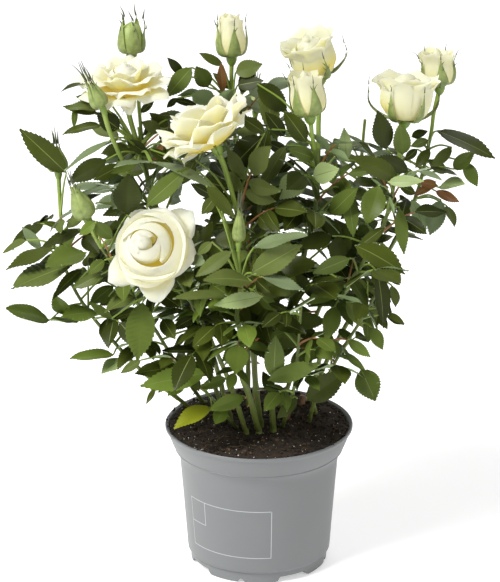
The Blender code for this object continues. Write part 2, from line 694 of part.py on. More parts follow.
def joined(name, bodies, parts, material):
    """One closed solid from many, by a Boolean union over a passing collection."""
    loose = new_collection("loose_" + name)
    for i, body in enumerate(bodies[1:]):
        add_object(f"loose_{name}_{i}", mesh_from_body(name, body), loose)
    item = add_object(name, mesh_from_body(name, bodies[0]), parts, material)
    union = item.modifiers.new("join", "BOOLEAN")
    union.operation = "UNION"
    union.operand_type = "COLLECTION"
    union.collection = loose
    union.solver = "EXACT"
    mesh = evaluated_mesh(item)
    item.modifiers.clear()
    item.data = mesh
    mesh.materials.clear()
    mesh.materials.append(material)
    for extra in list(loose.objects):
        bpy.data.objects.remove(extra, do_unlink=True)
    bpy.data.collections.remove(loose)
    return item


def try_leaf(name, start, tip, pairs, blocked):
    """The solids of a leaf if it stays clear of all but its own shoot, else nothing."""
    test = leaf_bodies(start, tip, pairs, LEAF_CLEARANCE)
    if not above_soil(test) or blocked.touched_by(test, "stem_" + name):
        return None
    bodies = leaf_bodies(start, tip, pairs)
    blocked.add("leaf", test)
    return bodies


def outer_leaves(name, stem, blocked):
    """The leaves that carry the outline, each nudged if its first place is taken."""
    owner = FORKS[name].shoot if name in FORKS else name
    chance = random.Random("outer " + name)
    grown = []
    for share, tip in OUTER_LEAVES.get(name, []):
        for attempt in range(LEAF_TRIES):
            start = point_at(stem, max(share - OUTER_TRY_SLIDE * attempt, 0.05))[0]
            nudge = Vector([chance.uniform(-1, 1) * attempt for _ in range(3)])
            bodies = try_leaf(owner, start, Vector(tip) + nudge, 2, blocked)
            if bodies:
                grown += bodies
                break
    return grown


def own_leaves(name, stem, blocked):
    """The leaves that a shoot sets by rule: a golden angle apart, the lower ones more level."""
    foliage = FOLIAGE[name]
    chance = random.Random("own " + name)
    grown = []
    for i in range(foliage.count):
        high = (i + 0.6) / foliage.count
        for attempt in range(LEAF_TRIES):
            place = 0.04 + 0.92 * high + chance.uniform(-1, 1) * TRY_SLIDE * attempt
            start = point_at(stem, min(max(place, 0.03), 0.97))[0]
            turn = chance.uniform(-1, 1) * TRY_TURN * attempt
            bearing = math.radians(foliage.bearing + GOLDEN_ANGLE * i + turn)
            rise = LEAF_RISE[0] + (LEAF_RISE[1] - LEAF_RISE[0]) * high - TRY_DROP * attempt
            rise = math.radians(rise + chance.uniform(-1, 1) * LEAF_RISE_STRAY)
            length = foliage.length * (1 + chance.uniform(-1, 1) * LEAF_LENGTH_STRAY)
            length *= (1 - LEAF_TOP_SHRINK * high) * (1 - TRY_SHORTEN * attempt)
            level = math.cos(rise)
            way = Vector((math.cos(bearing) * level, math.sin(bearing) * level, math.sin(rise)))
            tip = start + way * length
            if not inside_crown(tip):
                continue
            bodies = try_leaf(name, start, tip, 1, blocked)
            if bodies:
                grown += bodies
                break
    return grown


def flower_stalk(name, lines):
    """The line of a flower's stalk, clear of the stem that carries it."""
    share = SHOOTS[name].leafy if name in SHOOTS else FORK_LEAFY
    return stretch(lines[name], share + GAP / line_length(lines[name]), 1.0, 4)


def main():
    clear_scene()
    parts = new_collection("rose_bush")
    cutters = new_collection("cutters")
    plastic = make_material("grey_plastic", (0.33, 0.33, 0.34), 0.45)
    peat = make_material("peat", (0.025, 0.017, 0.012), 0.95)
    cane_green = make_material("cane_green", (0.18, 0.26, 0.06), 0.5)
    leaf_green = make_material("leaf_green", (0.06, 0.12, 0.03), 0.5)
    petal_cream = make_material("petal_cream", (0.90, 0.87, 0.66), 0.6)
    bud_green = make_material("bud_green", (0.25, 0.36, 0.10), 0.55)

    build_pot(parts, cutters, plastic)
    build_soil(parts, peat)
    lines = lines_of_plant()
    leafy = leafy_lines(lines)
    blocked = Obstacles()
    grown = {}
    for name, shoot in SHOOTS.items():
        build_cane(name, shoot, lines[name], parts, cane_green)
        bare = twig(stretch(lines[name], 0.0, shoot.bare, 6), shoot.girth, shoot.girth)
        blocked.add("cane", [bare])
        grown[name] = stem_bodies(name, leafy)
        blocked.add("stem_" + name, grown[name])
    for name, flower in FLOWERS.items():
        bodies = flower_bodies(flower, flower_stalk(flower.shoot, lines))
        blocked.add("flower", bodies)
        joined(name, bodies, parts, petal_cream if flower.radius > GREEN_BUD else bud_green)
    for name in OUTER_LEAVES:
        owner = FORKS[name].shoot if name in FORKS else name
        grown[owner] += outer_leaves(name, leafy[name], blocked)
    for name in SHOOTS:
        grown[name] += own_leaves(name, leafy[name], blocked)
        joined("foliage_" + name, grown[name], parts, leaf_green)


main()
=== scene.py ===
# %% [markdown]
# # A miniature rose bush in its pot
# This lesson dresses a plain solid model of a potted rose. The solids fix the size and the place of
# everything: the pot, the canes, a mass of foliage on each shoot, and each bloom and bud. Here each
# of them gets the finer shape and the finish that a real plant has.
#
# Plants are grown by a rule rather than drawn leaf by leaf. The same rule made the solids, so it is
# written again here with the same sizes, and then carried on to finer leaves and petals.

# %% Load the solids
import math
import random
from collections import namedtuple

import bmesh
import bpy
import numpy as np
from mathutils import Matrix, Vector, noise
from mathutils.bvhtree import BVHTree


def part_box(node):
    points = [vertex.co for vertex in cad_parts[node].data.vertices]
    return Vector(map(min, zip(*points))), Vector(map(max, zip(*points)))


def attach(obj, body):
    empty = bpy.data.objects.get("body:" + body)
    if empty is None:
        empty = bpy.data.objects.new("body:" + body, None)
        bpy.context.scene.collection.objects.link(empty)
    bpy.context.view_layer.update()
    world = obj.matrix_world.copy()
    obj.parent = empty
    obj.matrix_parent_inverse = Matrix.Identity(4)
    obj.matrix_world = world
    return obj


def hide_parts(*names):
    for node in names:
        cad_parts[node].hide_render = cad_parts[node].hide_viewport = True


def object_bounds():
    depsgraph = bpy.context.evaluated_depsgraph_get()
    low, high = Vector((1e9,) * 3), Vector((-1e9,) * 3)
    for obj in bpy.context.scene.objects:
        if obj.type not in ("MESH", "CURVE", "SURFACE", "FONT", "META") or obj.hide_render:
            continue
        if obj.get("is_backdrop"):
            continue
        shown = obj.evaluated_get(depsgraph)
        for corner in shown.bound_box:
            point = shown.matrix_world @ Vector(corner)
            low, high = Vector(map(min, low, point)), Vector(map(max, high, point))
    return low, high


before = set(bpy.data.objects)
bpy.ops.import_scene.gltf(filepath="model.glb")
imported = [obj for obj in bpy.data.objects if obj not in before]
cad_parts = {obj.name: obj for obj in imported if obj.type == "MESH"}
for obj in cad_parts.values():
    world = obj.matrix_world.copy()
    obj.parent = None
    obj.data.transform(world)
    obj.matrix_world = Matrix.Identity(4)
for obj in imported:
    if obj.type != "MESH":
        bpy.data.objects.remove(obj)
cad_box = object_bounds()
MM = 0.001                                  # sizes of the plant are in millimetres
pot_low, pot_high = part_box("pot")
RIM_HEIGHT = pot_high[2] / MM
RIM_RADIUS = (pot_high[0] - pot_low[0]) / 2 / MM
SOIL_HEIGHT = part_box("soil")[1][2] / MM
print("pot rim", round(RIM_RADIUS * 2, 1), "mm across,", round(RIM_HEIGHT, 1), "mm high")

# %% [markdown]
# ## Gathering faces into pieces
# A plant has thousands of small parts. If each were its own object, Blender would slow down, so the
# points and faces of everything of one kind are gathered in one list, with the finish of each face
# beside it, and become one mesh at the end. Points carry a depth, which is 0 at a petal's rim and
# grows to 1 or more at its root, so that a material can deepen its colour there.

# %% A surface that gathers faces
class Surface:
    """Points in millimetres, faces, each face's finish, and each point's depth."""

    def __init__(self):
        self.points, self.faces, self.finishes, self.depths = [], [], [], []
        self.count = 0

    def add(self, points, faces, finishes, depths=None):
        points = np.asarray(points, float)
        self.points.append(points)
        self.faces += [tuple(self.count + i for i in face) for face in faces]
        self.finishes += [finishes] * len(faces) if isinstance(finishes, str) else finishes
        self.depths.append(np.zeros(len(points)) if depths is None else depths)
        self.count += len(points)


def make_piece(name, surface, sharp_angle=50):
    """One mesh object from a surface, with a material slot for each finish that it uses."""
    mesh = bpy.data.meshes.new(name)
    mesh.from_pydata((np.concatenate(surface.points) * MM).tolist(), [], surface.faces)
    used = sorted(set(surface.finishes))
    for finish in used:
        mesh.materials.append(MATERIALS[finish])
    order = {finish: i for i, finish in enumerate(used)}
    mesh.polygons.foreach_set("material_index", [order[finish] for finish in surface.finishes])
    depth = mesh.attributes.new("depth", "FLOAT", "POINT")
    depth.data.foreach_set("value", np.concatenate(surface.depths).astype(np.float32))
    mesh.shade_smooth()
    mesh.set_sharp_from_angle(angle=math.radians(sharp_angle))
    mesh.validate()
    piece = bpy.data.objects.new(name, mesh)
    bpy.context.scene.collection.objects.link(piece)
    mesh.calc_loop_triangles()
    print(f"{name}: {len(mesh.loop_triangles)} triangles")
    return piece


def grid_faces(rows, columns, closed=False):
    """Quads between neighbouring rows of points, with the last column joined to the first if closed."""
    faces = []
    for row in range(rows - 1):
        for column in range(columns if closed else columns - 1):
            here = row * columns + column
            beside = row * columns + (column + 1) % columns
            faces.append((here, beside, beside + columns, here + columns))
    return faces


def capped_faces(rings, sides):
    """The quads of a closed tube of rings, and a flat face on each of its ends."""
    last = range((rings - 1) * sides, rings * sides)
    return [*grid_faces(rings, sides, closed=True), tuple(reversed(range(sides))), tuple(last)]


def under_faces(rows, columns, below):
    """The quads of a sheet seen from below, where below numbers its point at a row and a column."""
    return [(below(row, column), below(row + 1, column), below(row + 1, column + 1),
             below(row, column + 1)) for row in range(rows) for column in range(columns)]


def turned_over(faces):
    return [tuple(reversed(face)) for face in faces]


def polar(radius, angle, height=0.0):
    """A point at a distance from an axis, an angle round it and a height along it."""
    return radius * math.cos(angle), radius * math.sin(angle), height


def turns(sides):
    return [math.tau * side / sides for side in range(sides)]

# %% [markdown]
# ## Finishes
# No leaf, petal or lump of peat has one even colour. A node group called "mottling" spreads a second
# colour over the first in soft patches and puts out a height for a bump. It is built once, and each
# material sets its own colours, size of patch and amount.

# %% A shared mottling effect
def add_node(tree, kind, **inputs):
    """A new node, with its inputs set to values or joined to other nodes' outlets."""
    node = tree.nodes.new("ShaderNode" + kind)
    for name, value in inputs.items():
        if isinstance(value, bpy.types.NodeSocket):
            tree.links.new(value, node.inputs[name])
        else:
            node.inputs[name].default_value = value
    return node


def build_mottling():
    group = bpy.data.node_groups.new("mottling", "ShaderNodeTree")
    for name, way, kind in (("Colour", "INPUT", "Color"), ("Patch Colour", "INPUT", "Color"),
                            ("Scale", "INPUT", "Float"), ("Amount", "INPUT", "Float"),
                            ("Colour", "OUTPUT", "Color"), ("Height", "OUTPUT", "Float")):
        group.interface.new_socket(name=name, in_out=way, socket_type="NodeSocket" + kind)
    given = group.nodes.new("NodeGroupInput").outputs
    result = group.nodes.new("NodeGroupOutput").inputs
    place = add_node(group, "TexCoord").outputs["Object"]
    patches = add_node(group, "TexNoise", Vector=place, Scale=given["Scale"], Detail=4)
    share = add_node(group, "Math")
    share.operation = "MULTIPLY"
    mix = add_node(group, "Mix")
    mix.data_type = "RGBA"
    for outlet, inlet in ((patches.outputs["Fac"], share.inputs[0]), (given["Amount"], share.inputs[1]),
                          (share.outputs[0], mix.inputs["Factor"]), (given["Colour"], mix.inputs[6]),
                          (given["Patch Colour"], mix.inputs[7]), (mix.outputs[2], result["Colour"]),
                          (patches.outputs["Fac"], result["Height"])):
        group.links.new(outlet, inlet)
    return group


MOTTLING = build_mottling()

# %% A material from its colours
def new_material(name, roughness, **sockets):
    material = bpy.data.materials.new(name)
    material.use_nodes = True
    shader = material.node_tree.nodes["Principled BSDF"]
    for socket, value in (("Roughness", roughness), *sockets.items()):
        shader.inputs[socket.replace("_", " ")].default_value = value
    return material, material.node_tree, shader


def add_relief(tree, shader, height, strength, distance):
    bump = add_node(tree, "Bump", Height=height, Strength=strength, Distance=distance * MM)
    tree.links.new(bump.outputs["Normal"], shader.inputs["Normal"])


def grain(tree, scale):
    """The height of a fine even grain."""
    place = add_node(tree, "TexCoord").outputs["Object"]
    return add_node(tree, "TexNoise", Vector=place, Scale=scale).outputs["Fac"]


def add_mottling(tree, shader, colour, patch, scale, amount):
    """A colour that wanders between two, and the height of the same pattern."""
    effect = add_node(tree, "Group")
    effect.node_tree = MOTTLING
    for inlet, value in zip(effect.inputs, ((*colour, 1), (*patch, 1), scale, amount)):
        inlet.default_value = value
    tree.links.new(effect.outputs["Colour"], shader.inputs["Base Color"])
    return effect.outputs["Height"]


def mottled(name, colour, patch, scale, amount, roughness, relief=0.0, **sockets):
    material, tree, shader = new_material(name, roughness, **sockets)
    height = add_mottling(tree, shader, colour, patch, scale, amount)
    if relief:
        add_relief(tree, shader, height, MOTTLED_BUMP, relief)
    return material


def add_finishes(looks):
    """Mottled finishes, each from (colour, patch colour, scale, amount, roughness, relief)."""
    for name, look in looks.items():
        MATERIALS[name] = mottled(name, *look)


MOTTLED_BUMP = 0.6
MATERIALS = {}

# %% [markdown]
# Rose leaves are dark and a little glossy above, paler and dull beneath, and brighter green low in
# the crown. Real leaves differ from one another more than a pattern on one leaf does, so several
# greens are dealt out, leaf by leaf. One of them is a painted sheen rather than a green: the
# bluish-grey shine of light on a leaf's upper side, dealt out high in the crown and to some of the
# shown leaves.

# %% Leaf finishes
LEAF_GREENS = {
    "leaf_dark": (0.034, 0.045, 0.004), "leaf_deep": (0.019, 0.026, 0.002),
    # The second green on the next line is a painted sheen, the bluish-grey shine of light on a leaf's
    # upper side.
    "leaf_grey": (0.064, 0.082, 0.018), "leaf_blue": (0.100, 0.130, 0.062),
    "leaf_mid": (0.056, 0.079, 0.012), "leaf_bright": (0.082, 0.118, 0.016),
    "leaf_light": (0.190, 0.240, 0.095), "leaf_yellowing": (0.150, 0.165, 0.008),
    "leaf_reddish": (0.120, 0.055, 0.018),
}
for name, green in LEAF_GREENS.items():
    lighter = tuple(min(value * 1.8 + 0.004, 1.0) for value in green)
    MATERIALS[name] = mottled(name, green, lighter, 90, 0.8, 0.40, 0.12, Specular_IOR_Level=0.14)
add_finishes({
    "leaf_rib": ((0.10, 0.135, 0.020), (0.15, 0.19, 0.04), 200, 0.8, 0.5),
    "leaf_under": ((0.15, 0.21, 0.08), (0.22, 0.29, 0.13), 120, 0.9, 0.6),
    "leaf_under_pale": ((0.42, 0.50, 0.32), (0.50, 0.58, 0.40), 120, 0.9, 0.6),
    "stalk_green": ((0.150, 0.235, 0.028), (0.24, 0.31, 0.055), 60, 0.9, 0.42, 0.1),
    "stem_green": ((0.07, 0.11, 0.014), (0.15, 0.19, 0.035), 40, 0.9, 0.45, 0.15),
    "cane_green": ((0.085, 0.12, 0.018), (0.20, 0.24, 0.055), 45, 0.9, 0.5, 0.2),
    "cut_wood": ((0.13, 0.065, 0.035), (0.30, 0.17, 0.09), 200, 0.9, 0.7),
    "young_red": ((0.22, 0.075, 0.03), (0.30, 0.16, 0.05), 90, 0.9, 0.5),
    "prickle": ((0.33, 0.16, 0.07), (0.42, 0.26, 0.12), 300, 0.9, 0.5),
})
print(len(MATERIALS), "finishes for leaves and stems")

# %% [markdown]
# A petal is cream at its rim and deepens to yellow at its root, partly its own colour and partly
# painted shade where the petals go down into the bloom. The material reads the depth that each point
# carries and passes it through a colour ramp. Light enters a petal and spreads, so the material also
# scatters a little light below its surface. It also glows faintly in the same colours, a painted
# light that fills its shaded sides.

# %% Petal and sepal finishes
VEIN_SCALE = 350
PETAL_PAINTED_GLOW = 0.30                # painted light: a glow that stands in for light coming through a petal and fills its shade


def petal_material(name, rim, middle, root):
    material, tree, shader = new_material(
        name, 0.55, Subsurface_Weight=0.55, Subsurface_Radius=(1.0, 0.85, 0.35),
        Subsurface_Scale=4 * MM, Emission_Strength=PETAL_PAINTED_GLOW, Sheen_Weight=0.1)
    depth = add_node(tree, "Attribute")
    depth.attribute_name = "depth"
    ramp = add_node(tree, "ValToRGB", Fac=depth.outputs["Fac"])
    ramp.color_ramp.elements[0].color = (*rim, 1)
    ramp.color_ramp.elements[1].color = (*root, 1)
    ramp.color_ramp.elements.new(0.5).color = (*middle, 1)
    # The ramp also colours the painted glow, which lights the petal's shaded sides.
    for socket in ("Base Color", "Emission Color"):
        tree.links.new(ramp.outputs["Color"], shader.inputs[socket])
    add_relief(tree, shader, grain(tree, VEIN_SCALE), 0.25, 0.1)
    return material


PETAL_COLOURS = {
    "petal": ((0.51, 0.503, 0.385), (0.54, 0.51, 0.285), (0.54, 0.43, 0.07)),
    "petal_cream": ((0.485, 0.475, 0.32), (0.51, 0.475, 0.225), (0.56, 0.47, 0.12)),
    "petal_green": ((0.22, 0.28, 0.07), (0.19, 0.25, 0.05), (0.16, 0.22, 0.03)),
}
MATERIALS.update({name: petal_material(name, *colours) for name, colours in PETAL_COLOURS.items()})
add_finishes({
    "sepal": ((0.050, 0.085, 0.006), (0.30, 0.36, 0.11), 330, 1.0, 0.5, 0.1),
    "sepal_tip": ((0.040, 0.050, 0.020), (0.085, 0.10, 0.045), 160, 0.9, 0.6),
    "calyx": ((0.11, 0.19, 0.015), (0.20, 0.29, 0.045), 120, 0.9, 0.42),
})

# %% [markdown]
# ## The plant's own measures
# These are the driving sizes of the solids: the line of each shoot from the soil to its tip, the
# side shoots, the blooms and buds, how many leaves each shoot sets, and the leaves that carry the
# outline. Everything that follows is worked out from them.

# %% Shoots, side shoots, flowers and leaves
# A shoot's side of the crown, its girth, the shares of its line up to which it is bare and leafy,
# how many leaves its solid has, the first one's bearing, their length, and the line itself.
Shoot = namedtuple("Shoot", "side girth bare leafy count bearing length line")
SHOOTS = {
    "far_left": Shoot("left", 1.6, 0.40, 0.88, 3, 40, 55, [
        (-36, 22, 78), (-47, 4, 95), (-61, -12, 113), (-77, -16, 132), (-96, -21, 160), (-106, -20, 184),
        (-107, -14, 205), (-108, -10, 229)]),
    "left_back": Shoot("left", 1.5, 0.36, 0.90, 4, 200, 59, [
        (-30, 30, 78), (-44, 4, 111), (-60, -20, 150), (-76, -38, 184), (-86, -45, 204),
        (-90, -47, 215)]),
    "left_front": Shoot("left", 1.9, 0.38, 0.92, 6, 250, 62, [
        (-7, -10, 78), (-15, -21, 110), (-27, -27, 142), (-42, -31, 174), (-53, -39, 194),
        (-55, -45, 198)]),
    "left_rear": Shoot("left", 2.0, 0.34, 0.86, 6, 120, 62, [
        (-16, 10, 78), (-28, 7, 126), (-50, 6, 187), (-60, 0, 222), (-63, -3, 235), (-69, -5, 258),
        (-71, -5, 269)]),
    "centre": Shoot("centre", 2.2, 0.36, 0.84, 7, 300, 59, [
        (0, -9, 78), (-5, -22, 104), (-10, -29, 123), (-10, -39, 148), (-12, -46, 162), (-10, -54, 180),
        (-11, -60, 206)]),
    "centre_back": Shoot("centre", 2.3, 0.36, 0.78, 7, 160, 62, [
        (1, 0, 78), (-2, -5, 107), (-4, -4, 138), (-7, -14, 182), (-13, -28, 218), (-18, -36, 240),
        (-22, -40, 252)]),
    "rear": Shoot("centre", 2.0, 0.34, 0.88, 8, 80, 64, [
        (-2, 14, 78), (-3, 15, 148), (-7, 21, 193), (-13, 25, 238), (-15, 25, 269), (-15, 25, 283)]),
    "right_centre": Shoot("right", 2.2, 0.34, 0.82, 8, 20, 62, [
        (8, -7, 78), (7, -17, 102), (7, -20, 113), (14, -18, 146), (25, -12, 187), (31, -6, 214),
        (32, 0, 240), (32, 4, 256), (33, 5, 278)]),
    "right": Shoot("right", 1.9, 0.34, 0.88, 6, 330, 64, [
        (32, 14, 78), (30, -4, 100), (35, -17, 134), (41, -24, 157), (54, -22, 180), (68, -14, 205),
        (75, -5, 236), (78, 0, 255)]),
    "right_rear": Shoot("right", 1.8, 0.36, 0.86, 6, 60, 64, [
        (26, 30, 78), (44, 20, 122), (68, 21, 167), (86, 26, 203), (94, 30, 237), (96, 33, 251),
        (99, 35, 264)]),
    "right_low": Shoot("right", 1.5, 0.34, 1.0, 4, 280, 57, [
        (28, 4, 78), (30, -8, 94), (35, -20, 111), (45, -32, 137), (58, -38, 162), (66, -40, 182)]),
    "low_left": Shoot("left", 1.3, 0.30, 1.0, 3, 230, 51, [
        (-12, -3, 78), (-19, -14, 92), (-27, -25, 107), (-37, -33, 121), (-46, -38, 132)]),
    "low_front": Shoot("centre", 1.5, 0.26, 1.0, 4, 270, 53, [
        (13, -1, 78), (15, -16, 92), (18, -31, 109), (20, -41, 128), (21, -50, 150), (22, -56, 172)]),
    "back_left": Shoot("back", 1.8, 0.32, 1.0, 7, 110, 66, [
        (-20, 24, 78), (-33, 38, 110), (-50, 54, 150), (-62, 66, 195), (-68, 70, 232)]),
    "back_middle": Shoot("back", 1.8, 0.32, 0.86, 7, 40, 62, [
        (-6, 30, 78), (-6, 44, 108), (-5, 59, 144), (-3, 70, 184), (-2, 75, 220), (-2, 76, 238)]),
    "back_right": Shoot("back", 1.8, 0.32, 1.0, 7, 70, 66, [
        (12, 27, 78), (26, 42, 112), (44, 59, 152), (56, 69, 196), (60, 72, 236)]),
}
Fork = namedtuple("Fork", "shoot line girth")
FORKS = {
    "left_rear_high": Fork(
        "left_rear", [(-60, 0.5, 221), (-64, 12, 245), (-66, 19, 268), (-69, 20, 286)], 1.2),
    "left_rear_low": Fork(
        "left_rear", [(-51, 5.5, 191), (-60, -7, 212), (-71, -22, 237), (-79, -29, 259),
                      (-82, -30, 271)], 1.2),
    "right_centre_front": Fork(
        "right_centre", [(31.5, -3, 228), (30, -13, 241), (28, -19, 254), (27, -20, 263)], 1.2),
}
FORK_LEAFY = 0.55
Flower = namedtuple("Flower", "shoot facing radius height kind")
FLOWERS = {
    "bloom_front": Flower("left_front", (-0.12, -0.88, 0.46), 24.0, 24.0, "open"),
    "bloom_open_left": Flower("left_rear", (-0.06, -0.06, 1.0), 21.5, 20.0, "open"),
    "bloom_open_centre": Flower("centre_back", (-0.46, 0.14, 0.88), 27.0, 24.0, "open"),
    "bloom_half_right": Flower("right_centre", (-0.33, -0.10, 0.92), 13.5, 27.0, "cup"),
    "bud_centre_right": Flower("right_centre_front", (-0.14, -0.04, 0.98), 9.0, 27.0, "bud"),
    "bloom_half_far_right": Flower("right", (0.05, 0.10, 0.99), 17.0, 27.0, "cup"),
    "bud_far_right": Flower("right_rear", (-0.10, 0.02, 0.99), 9.0, 23.0, "bud"),
    "bud_top_centre": Flower("rear", (-0.03, 0.0, 1.0), 8.3, 26.0, "bud"),
    "bud_top_left": Flower("left_rear_high", (0.0, 0.0, 1.0), 7.2, 25.0, "bud"),
    "bud_left_upper": Flower("left_rear_low", (-0.42, 0.0, 0.90), 4.6, 28.0, "bud"),
    "bud_left_middle": Flower("left_back", (-0.35, -0.10, 0.93), 5.8, 27.0, "bud"),
    "bud_left_far": Flower("far_left", (-0.06, 0.0, 1.0), 5.2, 24.0, "bud"),
    "bud_back": Flower("back_middle", (0.05, 0.10, 0.99), 4.6, 22.0, "bud"),
    "bud_centre_small": Flower("centre", (0.03, 0.0, 1.0), 3.2, 29.0, "bud"),
}
OUTER_LEAVES = {
    "rear": [(0.95, (-33, 14, 289)), (0.95, (6, 22, 281))],
    "far_left": [(0.95, (-125, -30, 260)), (0.88, (-136, -35, 186)), (0.46, (-136, -40, 164)),
                 (0.12, (-102, -35, 134)), (0.66, (-134, -30, 173)), (0.92, (-141, 10, 182))],
    "left_back": [(0.67, (-111, -48, 175)), (0.89, (-117, -44, 197))],
    "left_front": [(0.78, (-64, -58, 138)), (0.22, (-66, -50, 124))],
    "left_rear": [(0.85, (-104, -38, 240)), (0.95, (-104, -18, 268)), (0.95, (-43, 14, 280))],
    "centre_back": [(0.95, (2, -47, 254))],
    "centre": [(0.92, (-14, -78, 190)), (0.54, (-36, -68, 152))],
    "right_centre": [(0.67, (44, -26, 252))],
    "right": [(0.85, (61, -24, 266)), (0.41, (78, -48, 190)), (0.93, (97, -22, 232))],
    "right_rear": [(0.95, (128, -12, 242)), (0.76, (108, -22, 218)), (0.80, (121, 18, 218)),
                   (0.52, (107, 6, 194))],
    "right_low": [(0.27, (63, -58, 119)), (0.39, (50, -62, 133)), (0.88, (70, -48, 155))],
    "low_left": [(0.71, (-66, -42, 119)), (0.31, (-47, -46, 103)), (0.14, (-20, -48, 105))],
    "low_front": [(0.32, (31, -60, 128)), (0.22, (3, -60, 114))],
}
CROWN_MIDDLE = (-8.0, 0.0, 192.0)
CROWN_RADIUS = 112.0
CROWN_RISE = 92.0
CANE_TAPER = 0.62
GAP = 0.3
GOLDEN_ANGLE = 137.5
UP = Vector((0, 0, 1))
print(len(SHOOTS), "shoots,", len(FLOWERS), "blooms and buds")

# %% [markdown]
# ## Lines through space
# A shoot is a smooth line through a few points. A Catmull-Rom line passes through all of them, and
# with it any length along the shoot can be turned into a place and a direction.

# %% Smooth lines and frames
def smooth_line(points, steps=5):
    knots = [Vector(point) for point in points]
    knots = [2 * knots[0] - knots[1], *knots, 2 * knots[-1] - knots[-2]]
    line = []
    for before, start, end, after in zip(knots, knots[1:], knots[2:], knots[3:]):
        for step in range(steps):
            share = step / steps
            line.append(0.5 * (2 * start + (end - before) * share
                               + (2 * before - 5 * start + 4 * end - after) * share ** 2
                               + (3 * start - before - 3 * end + after) * share ** 3))
    line.append(knots[-2])
    return line


def line_length(line):
    return sum((b - a).length for a, b in zip(line, line[1:]))


def point_at(line, share):
    left = share * line_length(line)
    for start, end in zip(line, line[1:]):
        span = (end - start).length
        if left <= span or end is line[-1]:
            return start + (end - start) * (left / span), (end - start).normalized()
        left -= span


def stretch(line, start, end, count):
    return [point_at(line, start + (end - start) * i / (count - 1))[0] for i in range(count)]


def frame_along(direction, hint=UP):
    """A right-handed frame whose Z lies along the direction and whose Y leans to the hint."""
    z = direction.normalized()
    x = hint.cross(z)
    if x.length < 0.05:
        x = Vector((1, 0, 0)).cross(z)
    x.normalize()
    return Matrix((x, z.cross(x), z)).transposed()


LINES = {name: smooth_line(shoot.line) for name, shoot in SHOOTS.items()}
LINES.update({name: smooth_line(fork.line) for name, fork in FORKS.items()})
longest = max(SHOOTS, key=lambda name: line_length(LINES[name]))
print("longest shoot:", longest, round(line_length(LINES[longest])), "mm")

# %% [markdown]
# ## Canes and stems
# A rose's stems are round but never smooth. They swell a little where a leaf leaves them and carry a
# few hooked prickles. A tube is swept along the line, and its radius is changed ring by ring.

# %% Tubes and prickles
SEAM_HINT = Vector((0.35, 0.94, 0.0))      # about where each ring of a tube starts


def ring_ways(line, sides):
    """For each ring of a tube, its number, its place and the ways out from its middle."""
    for i, place in enumerate(line):
        ahead = line[min(i + 1, len(line) - 1)] - line[max(i - 1, 0)]
        turned = frame_along(ahead, SEAM_HINT)
        yield i, place, [turned @ Vector(polar(1, angle)) for angle in turns(sides)]


def tube(surface, line, radii, finish, sides=8, rough=0.0, seed=0.0):
    """A round stem along a line, with flat ends. Rough is how far its surface strays."""
    points = []
    for i, place, ways in ring_ways(line, sides):
        for way in ways:
            wander = noise.noise((place + way * radii[i]) * 0.35 + Vector((seed, 0, 0)))
            points.append(place + way * radii[i] * (1 + rough * wander))
    surface.add(points, capped_faces(len(line), sides), finish)


def swollen(radii, every, amount):
    """Radii with a soft swelling at every so many rings."""
    return [radius * (1 + amount * max(0, math.cos(math.tau * i / every)) ** 6)
            for i, radius in enumerate(radii)]


def prickle(surface, root, out, along, size):
    """A hooked prickle that points down the stem."""
    tip = root + out * size - along * size * 0.45
    across = out.cross(along).normalized()
    base = [root + along * size * 0.4, root + across * size * 0.16, root - along * size * 0.4,
            root - across * size * 0.16]
    faces = [(0, 1, 4), (1, 2, 4), (2, 3, 4), (3, 0, 4), (3, 2, 1, 0)]
    surface.add([*base, tip], faces, "prickle")


def prickles_along(surface, line, radius, chance, spacing):
    for _ in range(int(line_length(line) / spacing)):
        root, along = point_at(line, chance.uniform(0.05, 0.95))
        turn = chance.uniform(0, math.tau)
        out = frame_along(along) @ Vector(polar(1, turn))
        prickle(surface, root + out * radius * 0.8, out, along, chance.uniform(1.4, 2.6))


def fine_radii(shoot, start, end, count):
    """A tapering shoot's radii at so many rings between two shares of its line."""
    return [shoot.girth * (1 - (1 - CANE_TAPER) * (start + (end - start) * i / count)) * FINE_GIRTH
            for i in range(count)]

# %% [markdown]
# ## One leaflet
# A rose leaf is made of five or seven leaflets. Each is an oval blade with saw teeth, folded up
# along its rib, and dimpled between its side veins. It is built as a thin closed shell: an upper
# sheet, a paler lower sheet with the rib standing out of it, and one shared toothed edge.

# %% The leaflet's template
TEETH = 13
STATIONS = 2 * TEETH
UPPER_PLACES = (-1.0, -0.55, -0.035, 0.035, 0.55, 1.0)     # across the blade, in half widths
LOWER_PLACES = (-0.5, 0.0, 0.5)
WIDEST = 0.40
BLADE_THICKNESS = 0.3
RIB_DEPTH = 0.45


def outline(share):
    """Half width of the blade at a share of its length, 1 where it is widest."""
    rise = 0.78
    fall = rise * (1 - WIDEST) / WIDEST
    return (share ** rise) * (1 - share) ** fall / (WIDEST ** rise * (1 - WIDEST) ** fall)


